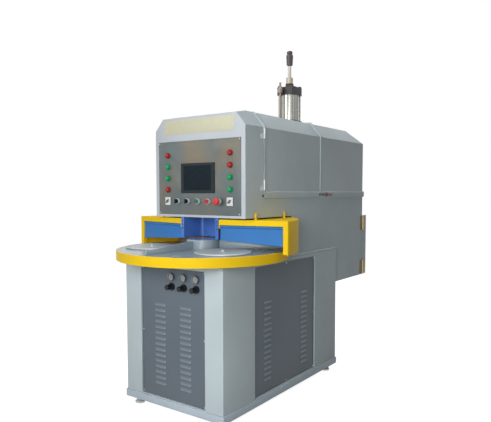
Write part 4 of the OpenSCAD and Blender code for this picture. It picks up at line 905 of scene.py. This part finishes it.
@dataclass
class NameStrip:
    """The blank strip across the top of the fascia."""
    half_width: float = 235.0
    low: float = 1436.0
    high: float = 1511.0
    front: float = -39.0
    thick: float = 1.2
    edge: float = 0.5

    def build(self) -> None:
        """Make the strip."""
        work = Workpiece("name_strip")
        work.block(at(-self.half_width, self.front - self.thick, self.low),
                   at(self.half_width, self.front, self.high), self.edge, CREAM)
        work.done("frame")


@dataclass
class Gauges:
    """Dials, rims and windows of the three pressure gauges."""
    places: tuple[float, ...] = (-3.0, 77.0, 157.0)
    height: float = 711.0
    panel: float = -240.0
    floor: float = 5.0
    card: Profile = Profile(((0.0, 0.4), (16.8, 0.4), (16.8, 0.0), (0.0, 0.0)), 40)
    hub: Profile = Profile(((0.0, 1.4), (2.4, 1.4), (2.8, 0.4), (0.0, 0.4)), 16)
    rim: Profile = Profile(((16.6, 14.2), (17.2, 15.0), (19.6, 15.0), (20.6, 14.2), (20.6, 9.0),
                            (20.0, 8.4), (16.6, 14.2)), 40)
    window: Profile = Profile(((0.0, 14.2), (16.6, 13.8), (16.6, 12.8), (0.0, 12.8)), 32)
    first: float = 225.0
    sweep: float = 270.0
    steps: int = 10
    card_face: float = 0.4
    ink_face: float = 0.5
    mark_half: float = 0.3
    long_mark: float = 3.4
    short_mark: float = 2.2
    scale_r: float = 12.6
    numeral_r: float = 9.8
    numeral_h: float = 3.0
    pointer_half: float = 0.4
    pointer_back: float = 0.9
    pointer_face: float = 1.2
    tail: float = 4.0

    def build(self) -> None:
        """Make the dials with their scale and pointer, the rims and the windows."""
        dials = Workpiece("gauge_dials")
        rims = Workpiece("gauge_rims")
        panes = Workpiece("gauge_windows")
        for x in self.places:
            foot = at(x, self.panel - self.floor, self.height)
            panel = at(x, self.panel, self.height)
            dials.turned(self.card, foot, Facing.FRONT, DIAL)
            dials.turned(self.hub, foot, Facing.FRONT, BLACK)
            dials.block(metres(-self.pointer_half, -self.pointer_face, -self.tail),
                        metres(self.pointer_half, -self.pointer_back, self.numeral_r),
                        0.0, BLACK, self.swung(foot, 0))
            for k in range(self.steps + 1):
                self.graduate(dials, foot, k)
            rims.turned(self.rim, panel, Facing.FRONT, DULL_CHROME)
            panes.turned(self.window, panel, Facing.FRONT, DIAL_GLASS)
        dials.done("frame")
        rims.done("frame")
        panes.done("frame")

    def swung(self, foot: Vector, step: int) -> Matrix:
        """The turn about a dial's middle from its top to one of its marks, counted from 0."""
        angle = math.radians(self.first - self.sweep * step / self.steps)
        return Matrix.Translation(foot) @ Matrix.Rotation(math.pi / 2 - angle, 4, "Y")

    def graduate(self, dials: Workpiece, foot: Vector, step: int) -> None:
        """Add one scale mark, and its number at every other step.

        Args:
            dials: the piece that takes the mark.
            foot: the middle of the dial's back.
            step: which mark it is, from 0.
        """
        whole = step % 2 == 0
        long = self.long_mark if whole else self.short_mark
        low = metres(-self.mark_half, -self.ink_face, self.scale_r)
        high = metres(self.mark_half, -self.card_face, self.scale_r + long)
        dials.block(low, high, 0.0, DIAL_INK, self.swung(foot, step))
        if whole:
            spot = self.swung(foot, step) @ metres(0.0, -self.ink_face, self.numeral_r)
            dials.numeral(str(step), self.numeral_h, spot, Facing.FRONT, DIAL_INK)


@dataclass
class HingePlug:
    """The small rubber plug under the hood's lower hinge."""
    x: float = 303.0
    y: float = 113.0
    z: float = 1110.0
    shape: Profile = Profile(((0.0, 4.0), (4.4, 3.6), (5.2, 2.0), (5.2, 0.0), (0.0, 0.0)), 20)

    def build(self) -> None:
        """Make the plug."""
        work = Workpiece("hinge_plug")
        work.turned(self.shape, at(self.x, self.y, self.z), Facing.RIGHT, RUBBER)
        work.done("frame")


@dataclass
class RearHingeLeaves:
    """Leaf plates of the rear hinges, screwed to the column and to the door."""
    side: float = 303.0
    thick: float = 2.2
    edge: float = 0.4
    axis: float = 1356.25
    near: float = 6.5
    column_reach: float = 32.0
    door_reach: float = 58.0
    feet: tuple[float, ...] = (557.0, 865.0)
    length: float = 100.0
    rows: tuple[float, ...] = (16.0, 50.0, 84.0)

    def build(self) -> None:
        """Make the leaves, one piece for the column and one for the door."""
        face = self.side + self.thick
        for name, body, reach in (("hinge_leaves_column", "frame", -self.column_reach),
                                  ("hinge_leaves_door", "box_door", self.door_reach)):
            work = Workpiece(name)
            ends = sorted((self.axis + math.copysign(self.near, reach), self.axis + reach))
            for foot in self.feet:
                work.block(at(self.side, ends[0], foot), at(face, ends[1], foot + self.length),
                           self.edge, BRASS)
                for row in self.rows:
                    work.turned(SCREW, at(face, sum(ends) / 2, foot + row), Facing.RIGHT, BRASS)
            work.done(body)


@dataclass
class MetalBath:
    """The still metal in the melting pot."""
    radius: float = 121.5
    near: float = 650.0
    far: float = 790.0
    level: float = 1236.0
    depth: float = 8.0
    sides: int = 48

    def build(self) -> None:
        """Make the bath's top layer as a slab with round ends."""
        work = Workpiece("metal_bath")
        foot = at(0, self.near, self.level - self.depth)
        half_side = Matrix.Rotation(math.pi / self.sides, 4, "Z")
        ring = bmesh.ops.create_circle(work.mesh, cap_ends=True, radius=self.radius / 1000,
                                       segments=self.sides, matrix=Matrix.Translation(foot) @ half_side)
        bmesh.ops.translate(work.mesh, vec=metres(0.0, self.far - self.near, 0.0),
                            verts=[v for v in ring["verts"] if v.co.y > foot.y])
        top = bmesh.ops.extrude_face_region(work.mesh, geom=work.mesh.faces[:], use_keep_orig=True)
        bmesh.ops.translate(work.mesh, vec=metres(0.0, 0.0, self.depth),
                            verts=[g for g in top["geom"] if isinstance(g, bmesh.types.BMVert)])
        bmesh.ops.recalc_face_normals(work.mesh, faces=work.mesh.faces)
        work.mark(work.mesh.faces, BATH)
        work.done("frame")


@dataclass(frozen=True)
class Softbox:
    """A square area lamp, its places in millimetres, its side in metres and its power in watts."""
    name: str
    place: Place
    aim: Place
    side: float
    power: float

    def build(self) -> None:
        """Hang the lamp."""
        lamp = bpy.data.lights.new(self.name, "AREA")
        lamp.size = self.side
        lamp.energy = self.power
        box = bpy.data.objects.new(self.name, lamp)
        box.location = at(*self.place)
        box.rotation_euler = (at(*self.aim) - at(*self.place)).to_track_quat("-Z", "Y").to_euler()
        bpy.context.scene.collection.objects.link(box)


@dataclass
class Studio:
    """Pale floor, plain soft light and the camera at the photo's angle."""
    spot: Place = (1853.5, -2201.1, 1130.75)
    yaw: float = 36.152
    pitch: float = 3.762
    roll: float = -0.086
    sensor: float = 36.0
    lens: float = 39.87
    shift: tuple[float, float] = (0.0099, 0.0339)
    sight: float = 200.0
    sun_from: Place = (-0.35, -0.86, 0.30)
    sun_strength: float = 1.0
    sun_angle: float = 40.0
    ambient: float = 0.065
    floor_half: float = 40.0
    floor_tone: Colour = (0.42, 0.42, 0.42)
    floor_glow: float = 0.936
    boxes: tuple[Softbox, ...] = (
        Softbox("front_box", (1300.0, -2300.0, 1350.0), (0.0, 100.0, 900.0), 1.2, 40.0),
        Softbox("top_box", (200.0, 500.0, 4600.0), (100.0, 450.0, 0.0), 2.6, 70.0),
        Softbox("rear_box", (-1400.0, 4200.0, 1500.0), (0.0, 900.0, 900.0), 2.0, 45.0),
    )

    def seen(self, shader: Shader) -> Flow:
        """Tell rays that show the background from those that only light the machine.

        Args:
            shader: the tree that nodes are added to.

        Returns:
            1 for camera, glossy and transmission rays.
        """
        camera = shader.add("ShaderNodeLightPath", {}, {}, "Is Camera Ray")
        outputs = camera.socket.node.outputs
        glossy = Flow(shader, outputs["Is Glossy Ray"])
        return camera.largest(glossy).largest(Flow(shader, outputs["Is Transmission Ray"]))

    def floor(self) -> None:
        """Lay the floor; it shows white and keeps a soft shadow."""
        material = bpy.data.materials.new("pale_floor")
        material.use_nodes = True
        shader = Shader(material.node_tree)
        plain = shader.add("ShaderNodeBsdfDiffuse", {}, {"Color": self.floor_tone}, "BSDF")
        glow = {"Color": PURE_WHITE, "Strength": self.seen(shader) * self.floor_glow}
        white = shader.add("ShaderNodeEmission", {}, glow, "Emission")
        shader.close(shader.add("ShaderNodeAddShader", {}, {0: plain, 1: white}, "Shader"))
        sheet = bmesh.new()
        bmesh.ops.create_grid(sheet, x_segments=1, y_segments=1, size=self.floor_half)
        data = bpy.data.meshes.new("floor")
        sheet.to_mesh(data)
        sheet.free()
        data.materials.append(material)
        floor = bpy.data.objects.new("floor", data)
        bpy.context.scene.collection.objects.link(floor)

    def light(self) -> None:
        """Set the surround, the soft key light from the front left and the boxes."""
        world = bpy.data.worlds.new("studio")
        bpy.context.scene.world = world
        world.use_nodes = True
        shader = Shader(world.node_tree)
        level = {"Color": PURE_WHITE, "Strength": self.seen(shader) * (1.0 - self.ambient) + self.ambient}
        back = shader.add("ShaderNodeBackground", {}, level, "Background")
        shader.close(back, "ShaderNodeOutputWorld")
        lamp = bpy.data.lights.new("key", "SUN")
        lamp.energy = self.sun_strength
        lamp.angle = math.radians(self.sun_angle)
        key = bpy.data.objects.new("key", lamp)
        key.rotation_euler = (-Vector(self.sun_from)).to_track_quat("-Z", "Y").to_euler()
        bpy.context.scene.collection.objects.link(key)
        for box in self.boxes:
            box.build()

    def camera(self) -> None:
        """Place the camera where the photo was taken from."""
        data = bpy.data.cameras.new("photo_camera")
        data.sensor_width = self.sensor
        data.lens = self.lens
        data.shift_x, data.shift_y = self.shift
        data.clip_end = self.sight
        eye = bpy.data.objects.new("photo_camera", data)
        eye.location = at(*self.spot)
        turn = Matrix.Rotation(math.radians(self.yaw), 4, "Z")
        tilt = Matrix.Rotation(math.radians(90 - self.pitch), 4, "X")
        lean = Matrix.Rotation(math.radians(self.roll), 4, "Z")
        eye.rotation_euler = (turn @ tilt @ lean).to_euler()
        bpy.context.scene.collection.objects.link(eye)
        bpy.context.scene.camera = eye

    def build(self) -> None:
        """Set up the camera, the light and the floor."""
        bpy.context.scene.view_settings.view_transform = "Standard"
        self.camera()
        self.light()
        self.floor()


def main() -> None:
    """Build the studio, dress the CAD nodes and add the small fittings."""
    logging.basicConfig(level=logging.INFO, format="%(name)s: %(message)s")
    steps: list[Callable[[], None]] = [
        Studio().build,
        CadFinishes().dress,
        PanelScrews().build,
        NameStrip().build,
        Gauges().build,
        HingePlug().build,
        RearHingeLeaves().build,
        MetalBath().build,
    ]
    for step in steps:
        step()


if __name__ == "__main__":
    main()
